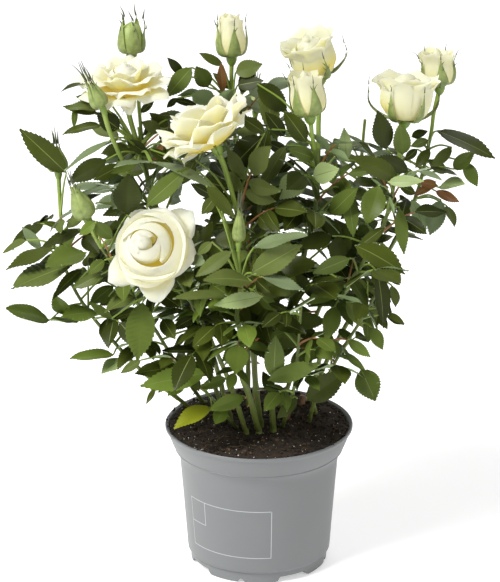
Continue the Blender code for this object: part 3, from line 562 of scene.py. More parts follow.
def leaflet_template():
    """Each point's place along and across, whether it is underneath, the faces and their kinds."""
    upper, lower, rows = len(UPPER_PLACES), len(LOWER_PLACES), STATIONS + 1
    under = rows * upper

    def below(row, column):
        if column in (0, lower + 1):
            return row * upper + (upper - 1 if column else 0)
        return under + row * lower + column - 1
    faces = grid_faces(rows, upper)
    kinds = ["rib" if i % (upper - 1) == 2 else "top" for i in range(len(faces))]
    faces += under_faces(STATIONS, lower + 1, below)
    kinds += ["under"] * (len(faces) - len(kinds)) + ["top", "top"]
    for row in (0, STATIONS):
        ring = [row * upper + column for column in range(upper)]
        ring += [under + row * lower + column for column in reversed(range(lower))]
        faces.append(tuple(ring) if row else tuple(reversed(ring)))
    along = [np.repeat(np.arange(rows) / STATIONS, count) for count in (upper, lower)]
    across = [np.tile(places, rows) for places in (UPPER_PLACES, LOWER_PLACES)]
    is_under = np.repeat([0.0, 1.0], [rows * upper, rows * lower])
    return np.concatenate(along), np.concatenate(across), is_under, faces, kinds


ALONG, ACROSS, IS_UNDER, BLADE_FACES, BLADE_KINDS = leaflet_template()
ROW = np.rint(ALONG * STATIONS).astype(int)
print(len(BLADE_FACES), "faces in a leaflet")

# %% A leaflet in its place
Look = namedtuple("Look", "top rib under")


def blade_axes(along, normal):
    """The ways along, across and out of a blade, at right angles to one another."""
    along = along.normalized()
    across = along.cross(normal).normalized()
    return along, across, across.cross(along)


def add_leaflet(surface, root, along, normal, length, look, chance, shape=0.52):
    """A fine blade from its root along a direction, its upper side facing the normal."""
    along, across, normal = blade_axes(along, normal)
    half = length * shape / 2 * chance.uniform(0.88, 1.1)
    fold = chance.uniform(0.10, 0.34)
    droop = chance.uniform(0.02, 0.26)
    twist = chance.uniform(-0.25, 0.25)
    wave = chance.uniform(0.02, 0.10)
    phase = chance.uniform(0, math.tau)
    side = np.abs(ACROSS)
    tooth = np.where(ROW % 2 == 1, 1.03, 0.955)
    tooth = np.where(side > 0.9, tooth, 1.0)
    width = (outline(np.clip(ALONG, 0, 1)) * half * tooth + 0.12) * ACROSS
    forward = ALONG + 0.05 * side * np.sin(math.pi * ALONG)
    forward += np.where((side > 0.9) & (ROW % 2 == 1), 0.03, 0.0) * (ALONG < 0.97)
    rise = fold * np.abs(width) - 0.35 * fold * side ** 2 * half * outline(np.clip(ALONG, 0, 1))
    rise += np.where((side > 0.4) & (side < 0.7), 0.06 * half * (-1.0) ** ROW, 0.0)
    rise += wave * half * side ** 2 * np.sin(phase + 9 * ALONG + np.sign(ACROSS))
    rise -= droop * length * forward ** 2
    rise -= IS_UNDER * (BLADE_THICKNESS * 0.6 + (side < 0.1) * RIB_DEPTH * (1 - ALONG * 0.7))
    turn = twist * ALONG
    sway = width * np.cos(turn)
    rise = rise + width * np.sin(turn)
    local = np.stack([forward * length, sway, rise], axis=1)
    points = np.array(root) + local @ np.array([along, across, normal])
    surface.add(points, BLADE_FACES, [getattr(look, kind) for kind in BLADE_KINDS])

# %% [markdown]
# ## Setting the leaves
# Every leaf keeps clear of canes, flowers and other leaves. The test is made on rough solids of eight
# faces, the same ones that the plain model is made of, because that is quick. Where a place is
# taken, the rule tries again, turned a little, lower and shorter.

# %% Rough solids and what is in the way
Body = namedtuple("Body", "verts faces")
BLADE_THICK = 0.9
TIP_FACES = [(0, 2, 4), (2, 3, 4), (3, 1, 4), (1, 0, 4), (2, 0, 5), (3, 2, 5), (1, 3, 5), (0, 1, 5)]


def rough_blade(root, along, normal, length, swell=0.0, shape=0.6):
    along, across, normal = blade_axes(along, normal)
    half = length * shape / 2 + swell
    thick = BLADE_THICK / 2 + swell
    middle = root + along * length * WIDEST
    edge = normal * half * 0.22
    return Body([root, middle - across * half + edge, middle + across * half + edge,
                 root + along * (length + swell), middle + normal * thick,
                 middle - normal * thick], TIP_FACES)


def rough_tube(line, radius, sides=4):
    verts = [place + way * radius for i, place, ways in ring_ways(line, sides) for way in ways]
    return Body(verts, grid_faces(len(line), sides, closed=True))


class Obstacles:
    """The rough solids set so far, by name, for keeping each new leaf clear of them."""

    def __init__(self):
        self.items = []

    def measured(self, body):
        low = [min(v[i] for v in body.verts) for i in range(3)]
        high = [max(v[i] for v in body.verts) for i in range(3)]
        return low, high, BVHTree.FromPolygons(body.verts, body.faces)

    def add(self, owner, bodies):
        self.items += [(owner, *self.measured(body)) for body in bodies]

    def touched_by(self, bodies, skip):
        for body in bodies:
            low, high, tree = self.measured(body)
            for owner, other_low, other_high, other in self.items:
                if owner == skip:
                    continue
                if any(low[i] > other_high[i] or high[i] < other_low[i] for i in range(3)):
                    continue
                if tree.overlap(other):
                    return True
        return False


def inside_crown(point):
    offset = point - Vector(CROWN_MIDDLE)
    flat = math.hypot(offset.x, offset.y) / CROWN_RADIUS
    return flat ** 2 + (offset.z / CROWN_RISE) ** 2 < 1.0

# %% The plan of a compound leaf
LEAF_LEAN = 0.8                 # how far a leaf's upper side turns outward from facing up
LEAF_ARCH = 0.14
END_SHARE = 0.46                # the last leaflet as a share of the whole leaf
END_LIMIT = 34.0
LeafPlan = namedtuple("LeafPlan", "stalk blades")


def leaf_facing(tip):
    """The way a leaf's upper side looks: up, and out from the plant's middle."""
    out = tip - Vector(CROWN_MIDDLE)
    return UP + Vector((out.x * 0.4, out.y, 0.0)).normalized() * LEAF_LEAN


def plan_leaf(start, tip, pairs, chance, end_share=END_SHARE):
    """The stalk of one leaf, and its leaflets as (root, direction, normal, length)."""
    chord = Vector(tip) - start
    length = chord.length
    facing = leaf_facing(Vector(tip))
    end_size = min(end_share * length, END_LIMIT)
    reach = chord * (1 - end_size / length)
    arch = UP * LEAF_ARCH * length
    knots = [start, start + reach * 0.35 + arch * 0.62, start + reach * 0.7 + arch,
             start + reach + arch * 1.05]
    stalk = smooth_line(knots, 3)
    blades = []
    for pair in range(1, pairs + 1):
        place, ahead = point_at(stalk, 1 - 0.34 * pair * 2 / (pairs + 1.2))
        turned = frame_along(ahead, facing)
        size = end_size * (1 - 0.14 * pair)
        for way in (-1, 1):
            out = (turned.col[2] * chance.uniform(0.45, 0.75) + turned.col[0] * way
                   - UP * chance.uniform(0.05, 0.35))
            stray = Vector([chance.uniform(-0.22, 0.22) for _ in range(3)])
            blades.append((place, out, turned.col[1] + stray, size * chance.uniform(0.9, 1.06)))
    ahead = (stalk[-1] - stalk[-2]).normalized()
    normal = frame_along(ahead, facing).col[1]
    blades.append((stalk[-1], start + chord - stalk[-1], normal, end_size))
    return LeafPlan(stalk, blades)


def rough_leaf(plan, swell):
    bodies = [rough_tube(plan.stalk[::3] + [plan.stalk[-1]], 0.5 + swell, 3)]
    return bodies + [rough_blade(*blade, swell=swell) for blade in plan.blades]

# %% The colours that a leaf is given
def pick(chance, weights):
    names = list(weights)
    return chance.choices(names, [weights[name] for name in names])[0]


LOW_GREENS = {"leaf_bright": 5, "leaf_mid": 5, "leaf_dark": 3, "leaf_deep": 1}
MIDDLE_GREENS = {"leaf_dark": 5, "leaf_grey": 3, "leaf_mid": 4, "leaf_bright": 1, "leaf_deep": 3}
# High in the crown some leaves get the painted bluish-grey sheen.
HIGH_GREENS = {"leaf_dark": 5, "leaf_grey": 4, "leaf_blue": 2, "leaf_mid": 2, "leaf_deep": 4}
LOW_LIMIT = 125.0
HIGH_LIMIT = 190.0


def leaf_look(height, chance, top=None):
    greens = LOW_GREENS if height < LOW_LIMIT else MIDDLE_GREENS
    if height > HIGH_LIMIT:
        greens = HIGH_GREENS
    top = top or pick(chance, greens)
    pale = top in ("leaf_light", "leaf_blue") or chance.random() < 0.1
    return Look(top, "leaf_rib" if chance.random() < 0.6 else top,
                "leaf_under_pale" if pale else "leaf_under")


def draw_leaf(leaves, twigs, plan, look, chance):
    """The fine leaf: its stalk in the twigs, its blades in the leaves."""
    count = len(plan.stalk)
    radii = [0.75 - 0.35 * i / (count - 1) for i in range(count)]
    finish = "stalk_green" if chance.random() < 0.8 else "young_red"
    tube(twigs, plan.stalk, radii, finish, sides=5)
    for root, along, normal, length in plan.blades:
        add_leaflet(leaves, root, along, normal, length, look, chance)

# %% [markdown]
# ## Growing the plant
# First the stems, then the space that the flowers take, then the leaves that carry the outline, and
# last the many leaves inside the crown. Each shoot sets its leaves a golden angle apart, the lower
# ones more level. The solids had a few large leaves each, and here there are more, and finer ones.

# %% Canes and leafy stems
FINE_GIRTH = 0.78                # the solids' stems are a little stout
CANE_RINGS, STEM_RINGS, FORK_RINGS = 26, 40, 16
canes, twigs = Surface(), Surface()
LEAF_SURFACES = {side: Surface() for side in ("left", "centre", "right", "back")}
blocked = Obstacles()
leafy = {}
for name, shoot in SHOOTS.items():
    chance = random.Random("cane " + name)
    line = LINES[name]
    cane = stretch(line, 0.002, shoot.bare, CANE_RINGS)
    cane[1] = cane[0] + UP * (cane[1] - cane[0]).length
    radii = fine_radii(shoot, 0, shoot.bare, CANE_RINGS)
    tube(canes, cane, swollen(radii, 9, 0.14), "cane_green", 10, rough=0.12, seed=len(leafy))
    prickles_along(canes, cane, shoot.girth, chance, 22)
    start = shoot.bare + GAP / line_length(line)
    leafy[name] = stretch(line, start, shoot.leafy, STEM_RINGS)
    radii = fine_radii(shoot, start, shoot.leafy, STEM_RINGS)
    tube(twigs, leafy[name], swollen(radii, 8, 0.18), "stem_green", 8, rough=0.08)
    prickles_along(twigs, leafy[name], shoot.girth * 0.75, chance, 26)
    blocked.add("cane", [rough_tube(stretch(line, 0.0, shoot.bare, 8), shoot.girth)])
    blocked.add("stem_" + name, [rough_tube(leafy[name][::6] + [leafy[name][-1]], shoot.girth)])
for name, fork in FORKS.items():
    leafy[name] = stretch(LINES[name], 0.0, FORK_LEAFY, FORK_RINGS)
    radii = [fork.girth * (1 - 0.01 * i) for i in range(FORK_RINGS)]
    tube(twigs, leafy[name], radii, "stem_green", 8)
    blocked.add("stem_" + fork.shoot, [rough_tube(leafy[name][::5], fork.girth)])
# What is left of older canes that were cut off: where each stands, its height and its lean.
STUBS = [((15, 9), 12.0, (2, -1)), ((35, 34), 7.0, (-2, 0)), ((24, 26), 8.0, (1, 1))]
for (x, y), rise, (lean_x, lean_y) in STUBS:
    foot = Vector((x, y, SOIL_HEIGHT - 2))
    top = foot + Vector((lean_x, lean_y, rise + 2))
    tube(canes, smooth_line([foot, (foot + top) / 2, top], 3), [2.2 - 0.08 * i for i in range(7)],
         "cut_wood", 9, rough=0.2, seed=round(rise))
print(len(leafy), "leafy stems")

# %% [markdown]
# ## Blooms and buds
# A rose petal starts upright at the calyx and bends outward, and its rim rolls back. So a petal is a
# patch swept along a side profile, given as (distance from the axis, height), and cupped round the
# axis. Tight cups make the heart, where each petal's one edge is tucked inside the next, and wide
# profiles make the open skirt. A sepal is the same patch, only narrow.

# %% A petal
# Where a flower or a petal stands: what gathers its faces, its foot, and its frame.
Stand = namedtuple("Stand", "surface base turned")
PETAL_THICKNESS = 0.28
MOST_SWING = 2.9                 # how far round its axis half a petal may reach, in radians


def along_profile(profile, shares):
    """Places on a smooth profile, and the direction of the profile there."""
    line = smooth_line([(r, 0.0, z) for r, z in profile], 6)
    flat = np.array([(p.x, p.z) for p in line])
    steps = np.linalg.norm(np.diff(flat, axis=0), axis=1)
    run = np.concatenate([[0], np.cumsum(steps)]) / steps.sum()
    place = np.stack([np.interp(shares, run, flat[:, k]) for k in (0, 1)], -1)
    ahead = np.stack([np.interp(np.minimum(shares + 0.02, 1), run, flat[:, k])
                      - np.interp(np.minimum(shares + 0.02, 1) - 0.04, run, flat[:, k])
                      for k in (0, 1)], -1)
    return place, ahead / np.linalg.norm(ahead, axis=-1, keepdims=True)


def petal(stand, azimuth, profile, width, finish, cup=1.0, tuck=0.0, roll=0.0, side_roll=0.0,
          point=0.06, ruffle=0.0, phase=0.0, rounding=0.24, depth=(0.9, 0.0), size=(12, 12),
          narrow=0.4, taper=0.0, wrap=None, thick=PETAL_THICKNESS):
    """A patch swept along a profile.

    Cup is how closely it wraps the axis, tuck slips one edge inward, roll and side_roll bend the
    rim and the edges back, and taper narrows it towards its tip. With a wrap, an angle, the patch
    is turned round the axis by so much on both sides, whatever its width.
    """
    # v runs from the petal's foot to its rim, and u from its left edge to its right one.
    rows, columns = size
    v = np.linspace(0, 1, rows + 1)[:, None] * np.ones(columns + 1)
    u = np.linspace(-1, 1, columns + 1)[None, :] * np.ones((rows + 1, 1))
    rim = 1 - rounding * np.abs(u) ** 2.4 + point * np.maximum(0, 1 - 4 * np.abs(u))
    place, ahead = along_profile(profile, np.clip(v * rim / (1 + point), 0, 1))
    half = width / 2 * (narrow + (1 - narrow) * np.sin(np.minimum(v / 0.62, 1) * math.pi / 2))
    half = half * (1 - 0.12 * np.clip((v - 0.75) / 0.25, 0, 1) ** 2) * (1 - taper * v ** 1.3)
    bend = np.maximum(place[..., 0], 1.2) / cup * (1 + tuck * u)
    swing = np.clip(u * half / bend, -MOST_SWING, MOST_SWING)
    lift = -roll * np.clip((v - 0.72) / 0.28, 0, 1) ** 2 * (0.6 + 0.8 * np.abs(u) ** 1.5)
    lift -= side_roll * np.abs(u) ** 3 * np.clip((v - 0.25) / 0.75, 0, 1) ** 1.5
    lift += ruffle * np.sin(phase + 4.5 * u) * v ** 3
    lift += 0.35 * ruffle * np.sin(2 * phase + 9 * u) * v ** 4
    normal_out, normal_up = -ahead[..., 1], ahead[..., 0]

    def placed(depth):
        """The sheet at a depth below the petal's inner face."""
        if wrap:
            inward = lift - depth
            reach = place[..., 0] * (1 + tuck * u) + normal_out * inward
            out, side = reach * np.cos(u * wrap), reach * np.sin(u * wrap)
        else:
            inward = bend * (1 - np.cos(swing)) + lift - depth
            out, side = place[..., 0] + normal_out * inward, bend * np.sin(swing)
        high = place[..., 1] + normal_up * inward
        x, y, _ = polar(1, azimuth)
        local = np.stack([out * x - side * y, out * y + side * x, high], -1).reshape(-1, 3)
        return np.array(stand.base) + local @ np.array(stand.turned).T
    upper, lower = placed(0.0), placed(thick)
    stride = columns + 1
    inner = [(row, column) for row in range(1, rows) for column in range(1, columns)]
    number = {spot: len(upper) + i for i, spot in enumerate(inner)}
    kept = [row * stride + column for row, column in inner]

    def below(row, column):
        return number.get((row, column), row * stride + column)
    faces = turned_over(grid_faces(rows + 1, stride) + under_faces(rows, columns, below))
    fade = depth[1] + (depth[0] - depth[1]) * (1 - v.reshape(-1)) ** 1.6
    points = np.concatenate([upper, lower[kept]])
    stand.surface.add(points, faces, finish, np.concatenate([fade, fade[kept]]))

# %% Calyx, sepals and stalk
ROUND_SIDES = 14
SEPAL_THICKNESS = 0.35
SEPAL_THREAD = 5.0
STALK_RINGS = 14


def turned_shape(stand, profile, finish):
    """A closed round shape about an axis."""
    points = [stand.base + stand.turned @ Vector(polar(radius, angle, height))
              for radius, height in profile for angle in turns(ROUND_SIDES)]
    stand.surface.add(points, capped_faces(len(profile), ROUND_SIDES), finish)


def out_and_side(turned, azimuth):
    """The way out from a flower's axis at an angle round it, and the way across that."""
    x, y, _ = polar(1, azimuth)
    return turned @ Vector((x, y, 0)), turned @ Vector((-y, x, 0))


def calyx(stand, hip):
    profile = [(1.1, -3.0), (hip * 0.72, -1.6), (hip * 0.96, 0.2), (hip, 1.8), (hip * 0.9, 3.4),
               (hip * 0.8, 4.4), (hip * 0.4, 4.9)]
    turned_shape(stand, profile, "calyx")


def thread(surface, place, way, out, reach, chance, start=0.36):
    """The hair-like end of a sepal."""
    line = [place, place + way * reach * 0.5, place + way * reach + out * chance.uniform(-0.8, 1.6)]
    radii = [start * (1 - 0.13 * i) for i in range(7)]
    tube(surface, smooth_line(line, 3), radii, "sepal_tip", 5)


def sepal(stand, azimuth, profile, width, chance, fringed=True):
    """A narrow green blade with a hair-like tip, and on some a few side threads."""
    petal(stand, azimuth, profile, width, "sepal", cup=0.9, point=0.1, rounding=0.1, size=(12, 4),
          narrow=0.8, taper=0.86, thick=SEPAL_THICKNESS)
    tip, ahead = along_profile(profile, np.array([0.66, 0.82, 0.97]))
    ends = [stand.base + stand.turned @ Vector(polar(r, azimuth, z)) for r, z in tip]
    way = stand.turned @ Vector(polar(ahead[2][0], azimuth, ahead[2][1]))
    out, side = out_and_side(stand.turned, azimuth)
    thread(stand.surface, ends[2], way, out, SEPAL_THREAD * chance.uniform(0.7, 1.2), chance)
    for place in ends[:2] if fringed else []:
        for hand in (-1, 1):
            if chance.random() < 0.5:
                thread(stand.surface, place + side * hand * 0.6, (side * hand * 0.5 + way).normalized(),
                       out, chance.uniform(1.8, 3.6), chance, 0.28)


def flower_stalk(flower):
    share = SHOOTS[flower.shoot].leafy if flower.shoot in SHOOTS else FORK_LEAFY
    line = LINES[flower.shoot]
    return stretch(line, share - GAP / line_length(line), 1.0, STALK_RINGS)

# %% [markdown]
# The heart is a spiral of closely wrapped petals, each turned by the golden angle from the last, as
# leaves are round a stem. Together they make a dome. Every petal follows the dome from the rim of
# the next one out to its own rim, so there is no gap between them.

# %% The heart of a bloom
HEART_FOOT = 3.0
HEART_DEPTH = 2.6                # the depth at the root of a heart's outermost petal; the heart's outer petals turn yellow further up, partly their own colour, partly painted shade


def heart(stand, radius, height, count, finish, chance, drop=0.30, lean=(0, 0, 0)):
    """Petals that wrap the axis and lie on one dome, whose rim is lower than its top by the drop.

    The lean is how far the innermost petals stand from the axis.
    """
    def rim(i):
        share = (i + 0.3) / count
        return radius * share ** 1.3, height * (1 - drop * share ** 1.6)
    for i in range(count):
        (near, top), (far, low), (last, lowest) = rim(i), rim(i + 1), rim(i + 2)
        stray = chance.uniform(-0.1, 0.1) * (far - near)
        profile = [(last * 0.5, HEART_FOOT),
                   (last * 0.98, HEART_FOOT + (lowest - HEART_FOOT) * 0.4),
                   (last - 0.2, lowest - 1.0), (far - 0.1, low - 0.45),
                   (near + stray if i else 0.0, top)]
        start = stand.base + Vector(lean) * (1 - i / count)
        petal(stand._replace(base=start), math.radians(GOLDEN_ANGLE) * i + chance.uniform(-0.2, 0.2),
              profile, 0.0, finish, tuck=0.03, roll=0.15 + 0.06 * far if i else 0.0, point=0.0,
              rounding=min(0.24, 0.1 * i), ruffle=0.03 * far if i else 0.0,
              phase=chance.uniform(0, 6), depth=(HEART_DEPTH * (0.3 + 0.7 * i / count), 0.0),
              size=(16, 20), wrap=chance.uniform(1.9, 2.4) if i else math.pi)

# %% Open blooms
SEPALS = 5
Ring = namedtuple("Ring", "turns profile width cup roll side_roll ruffle rounding wrap",
                  defaults=[None])


def open_bloom(stand, flower, rings, chance):
    """Rings of petals round a heart. A ring's turns are angles, some with a reach of their own."""
    calyx(stand, 3.2)
    radius, height = flower.radius, flower.height
    for ring in rings:
        for turn in ring.turns:
            turn, reach = turn if isinstance(turn, tuple) else (turn, chance.uniform(0.94, 1.06))
            azimuth = math.radians(turn + chance.uniform(-6, 6))
            sag = chance.uniform(-0.08, 0.08)
            profile = [(r * radius * (reach if k > 1 else 1), (z + sag * (k / 3) ** 2) * height)
                       for k, (r, z) in enumerate(ring.profile)]
            petal(stand, azimuth, profile, ring.width * radius, "petal", cup=ring.cup,
                  roll=ring.roll * chance.uniform(0.6, 1.4),
                  side_roll=ring.side_roll * chance.uniform(0.6, 1.4),
                  ruffle=ring.ruffle * chance.uniform(0.6, 1.4), phase=chance.uniform(0, 6),
                  point=chance.uniform(0.0, 0.05), rounding=ring.rounding * chance.uniform(0.8, 1.2),
                  depth=(2.2, 0.0), size=(14, 14), wrap=ring.wrap)
    for i in range(SEPALS):
        reach = chance.uniform(0.8, 1.1)
        profile = [(1.8, 3.2), (5.5 * reach, 4.0), (10 * reach, 3.0), (13.5 * reach, 0.5)]
        sepal(stand, math.tau * (i + 0.3) / SEPALS, profile, 3.6, chance, False)

# %% Rings of petals for each open bloom
OPEN_RINGS = {
    "bloom_front": [
        Ring([(20, 1.0), (140, 0.96), (258, 1.0)],
             [(0.10, 0.14), (0.52, 0.24), (0.65, 0.50), (0.74, 0.78)],
             0.0, 1.0, 2.6, 0.3, 0.6, 0.42, 1.35),
        Ring([(80, 0.98), (168, 0.84), (240, 0.94), (340, 0.98)],
             [(0.10, 0.12), (0.58, 0.20), (0.76, 0.42), (0.93, 0.52)],
             0.0, 0.9, 3.0, 0.8, 0.9, 0.50, 1.05),
        Ring([(50, 1.22), (118, 0.98), (222, 1.24), (280, 1.18), (0, 0.94)],
             [(0.10, 0.10), (0.50, 0.12), (0.80, 0.24), (1.0, 0.24)],
             0.88, 0.5, 1.2, 1.2, 0.9, 0.3),
    ],
    "bloom_open_left": [
        Ring([20, 95, 165, 240, 310], [(0.10, 0.16), (0.30, 0.50), (0.42, 0.86), (0.52, 1.08)],
             0.72, 0.9, 1.6, 0.6, 0.6, 0.2),
        Ring([0, 60, 125, 185, 250, 305], [(0.10, 0.14), (0.44, 0.50), (0.72, 0.80), (0.94, 0.92)],
             0.86, 0.6, 1.6, 1.2, 0.8, 0.22),
        Ring([30, 95, 155, 215, 275, 335], [(0.10, 0.12), (0.56, 0.40), (0.94, 0.62), (1.24, 0.70)],
             0.95, 0.5, 1.2, 1.6, 1.0, 0.24),
        Ring([10, 80, 140, (192, 1.28), 245, 300],
             [(0.10, 0.10), (0.62, 0.30), (1.04, 0.42), (1.32, 0.38)],
             0.98, 0.45, 1.0, 1.8, 1.0, 0.28),
        Ring([(215, 0.95), (255, 1.0), (325, 1.0)],
             [(0.10, 0.08), (0.46, 0.18), (0.76, 0.10), (0.86, -0.10)],
             0.42, 0.45, 0.6, 1.2, 0.9, 0.34),
    ],
    "bloom_open_centre": [
        Ring([0, 75, 145, 215, 290], [(0.10, 0.16), (0.30, 0.46), (0.42, 0.86), (0.50, 1.12)],
             0.72, 0.9, 1.6, 0.6, 0.6, 0.2),
        Ring([40, 105, 170, 235, 300, 0], [(0.10, 0.14), (0.40, 0.46), (0.64, 0.82), (0.82, 1.04)],
             0.80, 0.6, 2.0, 1.6, 0.9, 0.22),
        Ring([15, 75, 135, 195, 255, 320], [(0.10, 0.12), (0.46, 0.36), (0.78, 0.66), (1.02, 0.86)],
             0.82, 0.5, 1.8, 2.0, 1.1, 0.24),
        Ring([(45, 0.95), (105, 0.95), 165, (225, 1.05), (285, 1.0), (345, 0.95)],
             [(0.10, 0.10), (0.46, 0.24), (0.80, 0.46), (1.02, 0.52)],
             0.78, 0.45, 1.2, 2.2, 1.1, 0.28),
        Ring([(200, 1.0), (262, 0.85)], [(0.10, 0.08), (0.48, 0.16), (0.80, 0.20), (1.0, 0.04)],
             0.62, 0.45, 0.8, 1.6, 0.9, 0.32),
    ],
}
Heart = namedtuple("Heart", "radius height count drop lean")
HEARTS = {"bloom_front": Heart(0.60, 1.06, 6, 0.36, (-4.2, 0, 1.8)),
          "bloom_open_left": Heart(0.30, 1.08, 5, 0.2, (0, 0, 0)),
          "bloom_open_centre": Heart(0.30, 1.12, 5, 0.2, (0, 0, 0))}

# %% [markdown]
# A half open bloom is a deep cup with its rims rolled out, and its sepals stand off it. A bud is
# wrapped in a few petals that close at the top. In a green bud the sepals still cover the petals.

# %% Cups and buds
def swept(radius, height, shares, wide=1.0):
    """A profile's points in millimetres, from shares of a flower's radius and height."""
    return [(radius * r * wide, height * z) for r, z in shares]


def cream_petal(stand, azimuth, profile, tuck, roll, ruffle, depth, wraps, chance):
    petal(stand, azimuth, profile, 0.0, "petal_cream", tuck=tuck, roll=roll,
          ruffle=ruffle, phase=chance.uniform(0, 6), point=0.05, rounding=0.10, depth=depth,
          wrap=chance.uniform(*wraps))


CUP_PETALS = 7                   # they go round twice


def cup_bloom(stand, flower, chance, cup):
    """A deep cup of broad petals over its sepals."""
    calyx(stand, 3.6)
    radius, height = flower.radius * cup.girth, flower.height
    heart(stand, radius * 0.70, height * cup.rim, 6, "petal_cream", chance, drop=0.24)
    for i in range(CUP_PETALS):
        azimuth = math.radians(-80) + math.tau * i / (CUP_PETALS / 2) + chance.uniform(-0.15, 0.15)
        wide = 0.90 + 0.025 * i
        shares = [(0.60, 0.13), (0.84, 0.38), (0.92, cup.rim - 0.24), (1.14, cup.rim)]
        cream_petal(stand, azimuth, [(1.6, 3.0), *swept(radius, height, shares, wide)],
                    0.05, 2.2 * chance.uniform(0.6, 1.5), 0.5, (0.75, 0.0), (0.75, 0.95), chance)
    for i, away in enumerate(cup.spreads):
        azimuth = math.tau * (i + 0.1) / SEPALS + chance.uniform(-0.15, 0.15)
        profile = [(2.4, 2.4), (radius * 0.70, height * 0.08),
                   *swept(radius, height, [(0.96, 0.32), (1.02, cup.sepals)], away)]
        sepal(stand, azimuth, profile, 8.0, chance)


def cream_bud(stand, flower, chance, flare):
    """A bud in its sepals. The flare is the width of its mouth as a share of its own."""
    radius, height = flower.radius, flower.height
    hip = max(1.9, 0.36 * radius)
    calyx(stand, hip)
    heart(stand, radius * 0.55, height * 1.03, 4, "petal_cream", chance, drop=0.3)
    for i in range(4):
        azimuth = math.radians(GOLDEN_ANGLE * i - 60)
        wide = 0.84 + 0.05 * i
        shares = [(0.84, 0.20), (1.0, 0.45), (0.62 + 0.26 * flare, 0.74), (flare, 1.0)]
        cream_petal(stand, azimuth, [(1.2, 3.0), *swept(radius, height, shares, wide)],
                    0.08, 1.2, 0.3, (0.9, 0.1), (1.3, 1.6), chance)
    for i in range(SEPALS):
        azimuth = math.tau * (i + 0.2) / SEPALS + chance.uniform(-0.15, 0.15)
        away = chance.uniform(0.96, 1.2)
        profile = [(hip * 0.8, 2.4), *swept(radius, height, [(0.90, 0.17), (1.08, 0.42), (1.0, 0.66)]),
                   (radius * 1.04 * away, height * 0.86)]
        sepal(stand, azimuth, profile, radius * 1.25, chance)


# A cup: its girth and the heights of its rim and its sepals, as shares of the flower's, and how
# far each sepal stands off it.
Cup = namedtuple("Cup", "girth rim sepals spreads")
CUPS = {"bloom_half_right": Cup(0.95, 0.98, 0.60, (1.16, 1.42, 1.2, 1.1, 1.2)),
        "bloom_half_far_right": Cup(0.86, 1.02, 0.74, (1.42, 1.03, 1.05, 1.3, 1.3))}
# How wide the mouth of a cream bud is, and a green bud's crown and bulb.
MOUTHS = {"bud_top_centre": 0.48, "bud_centre_right": 0.86, "bud_far_right": 1.08}
CROWNS = {"bud_top_left": (0.76, 1.0), "bud_left_middle": (0.16, 0.98), "bud_left_upper": (0.30, 0.72)}
CLOSED = (0.20, 0.84)


def green_bud(stand, flower, chance, crown, bulb):
    """A green bud.

    The crown is the width between its sepals' tips as a share of its own, and the bulb is the share
    of its height that is not tips.
    """
    radius, height = flower.radius, flower.height * bulb
    hip = max(1.6, 0.42 * radius)
    calyx(stand, hip)
    shares = [(0.80, 0.16), (0.93, 0.30), (0.6 + 0.35 * crown, 0.50), (0.1 + 0.8 * crown, 0.68)]
    body = [(hip * 0.5, 2.4), *swept(radius, height, shares), (0.3, height * 0.80)]
    turned_shape(stand, body, "petal_green")
    for i in range(SEPALS):
        azimuth = math.tau * (i + 0.2) / SEPALS
        close = crown * chance.uniform(0.85, 1.2)
        shares = [(0.90, 0.16), (1.04, 0.31), (0.7 + 0.35 * crown, 0.52), (0.16 + close, 0.72),
                  (close, 0.90)]
        profile = [(hip * 0.8, 2.4), *swept(radius, height, shares)]
        petal(stand, azimuth, profile, radius * (1.95 - 0.4 * crown), "sepal", point=0.1,
              rounding=0.1, size=(14, 6), narrow=0.8, taper=0.78, thick=SEPAL_THICKNESS, tuck=0.10)
        rise = stand.turned @ UP
        out, side = out_and_side(stand.turned, azimuth)
        for high, away, long in ((0.88, 0.02, 0.24), (0.76, 0.12, 0.13), (0.64, 0.24, 0.10)):
            place = stand.base + out * radius * (away + close) + rise * height * high
            way = (rise + side * chance.uniform(-0.7, 0.7) * crown + out * 0.3 * crown).normalized()
            reach = long if high < 0.8 else long + 0.5 * (1 - bulb)
            thread(stand.surface, place, way, out, flower.height * reach * chance.uniform(0.7, 1.2),
                   chance, 0.6 if high > 0.8 else 0.4)

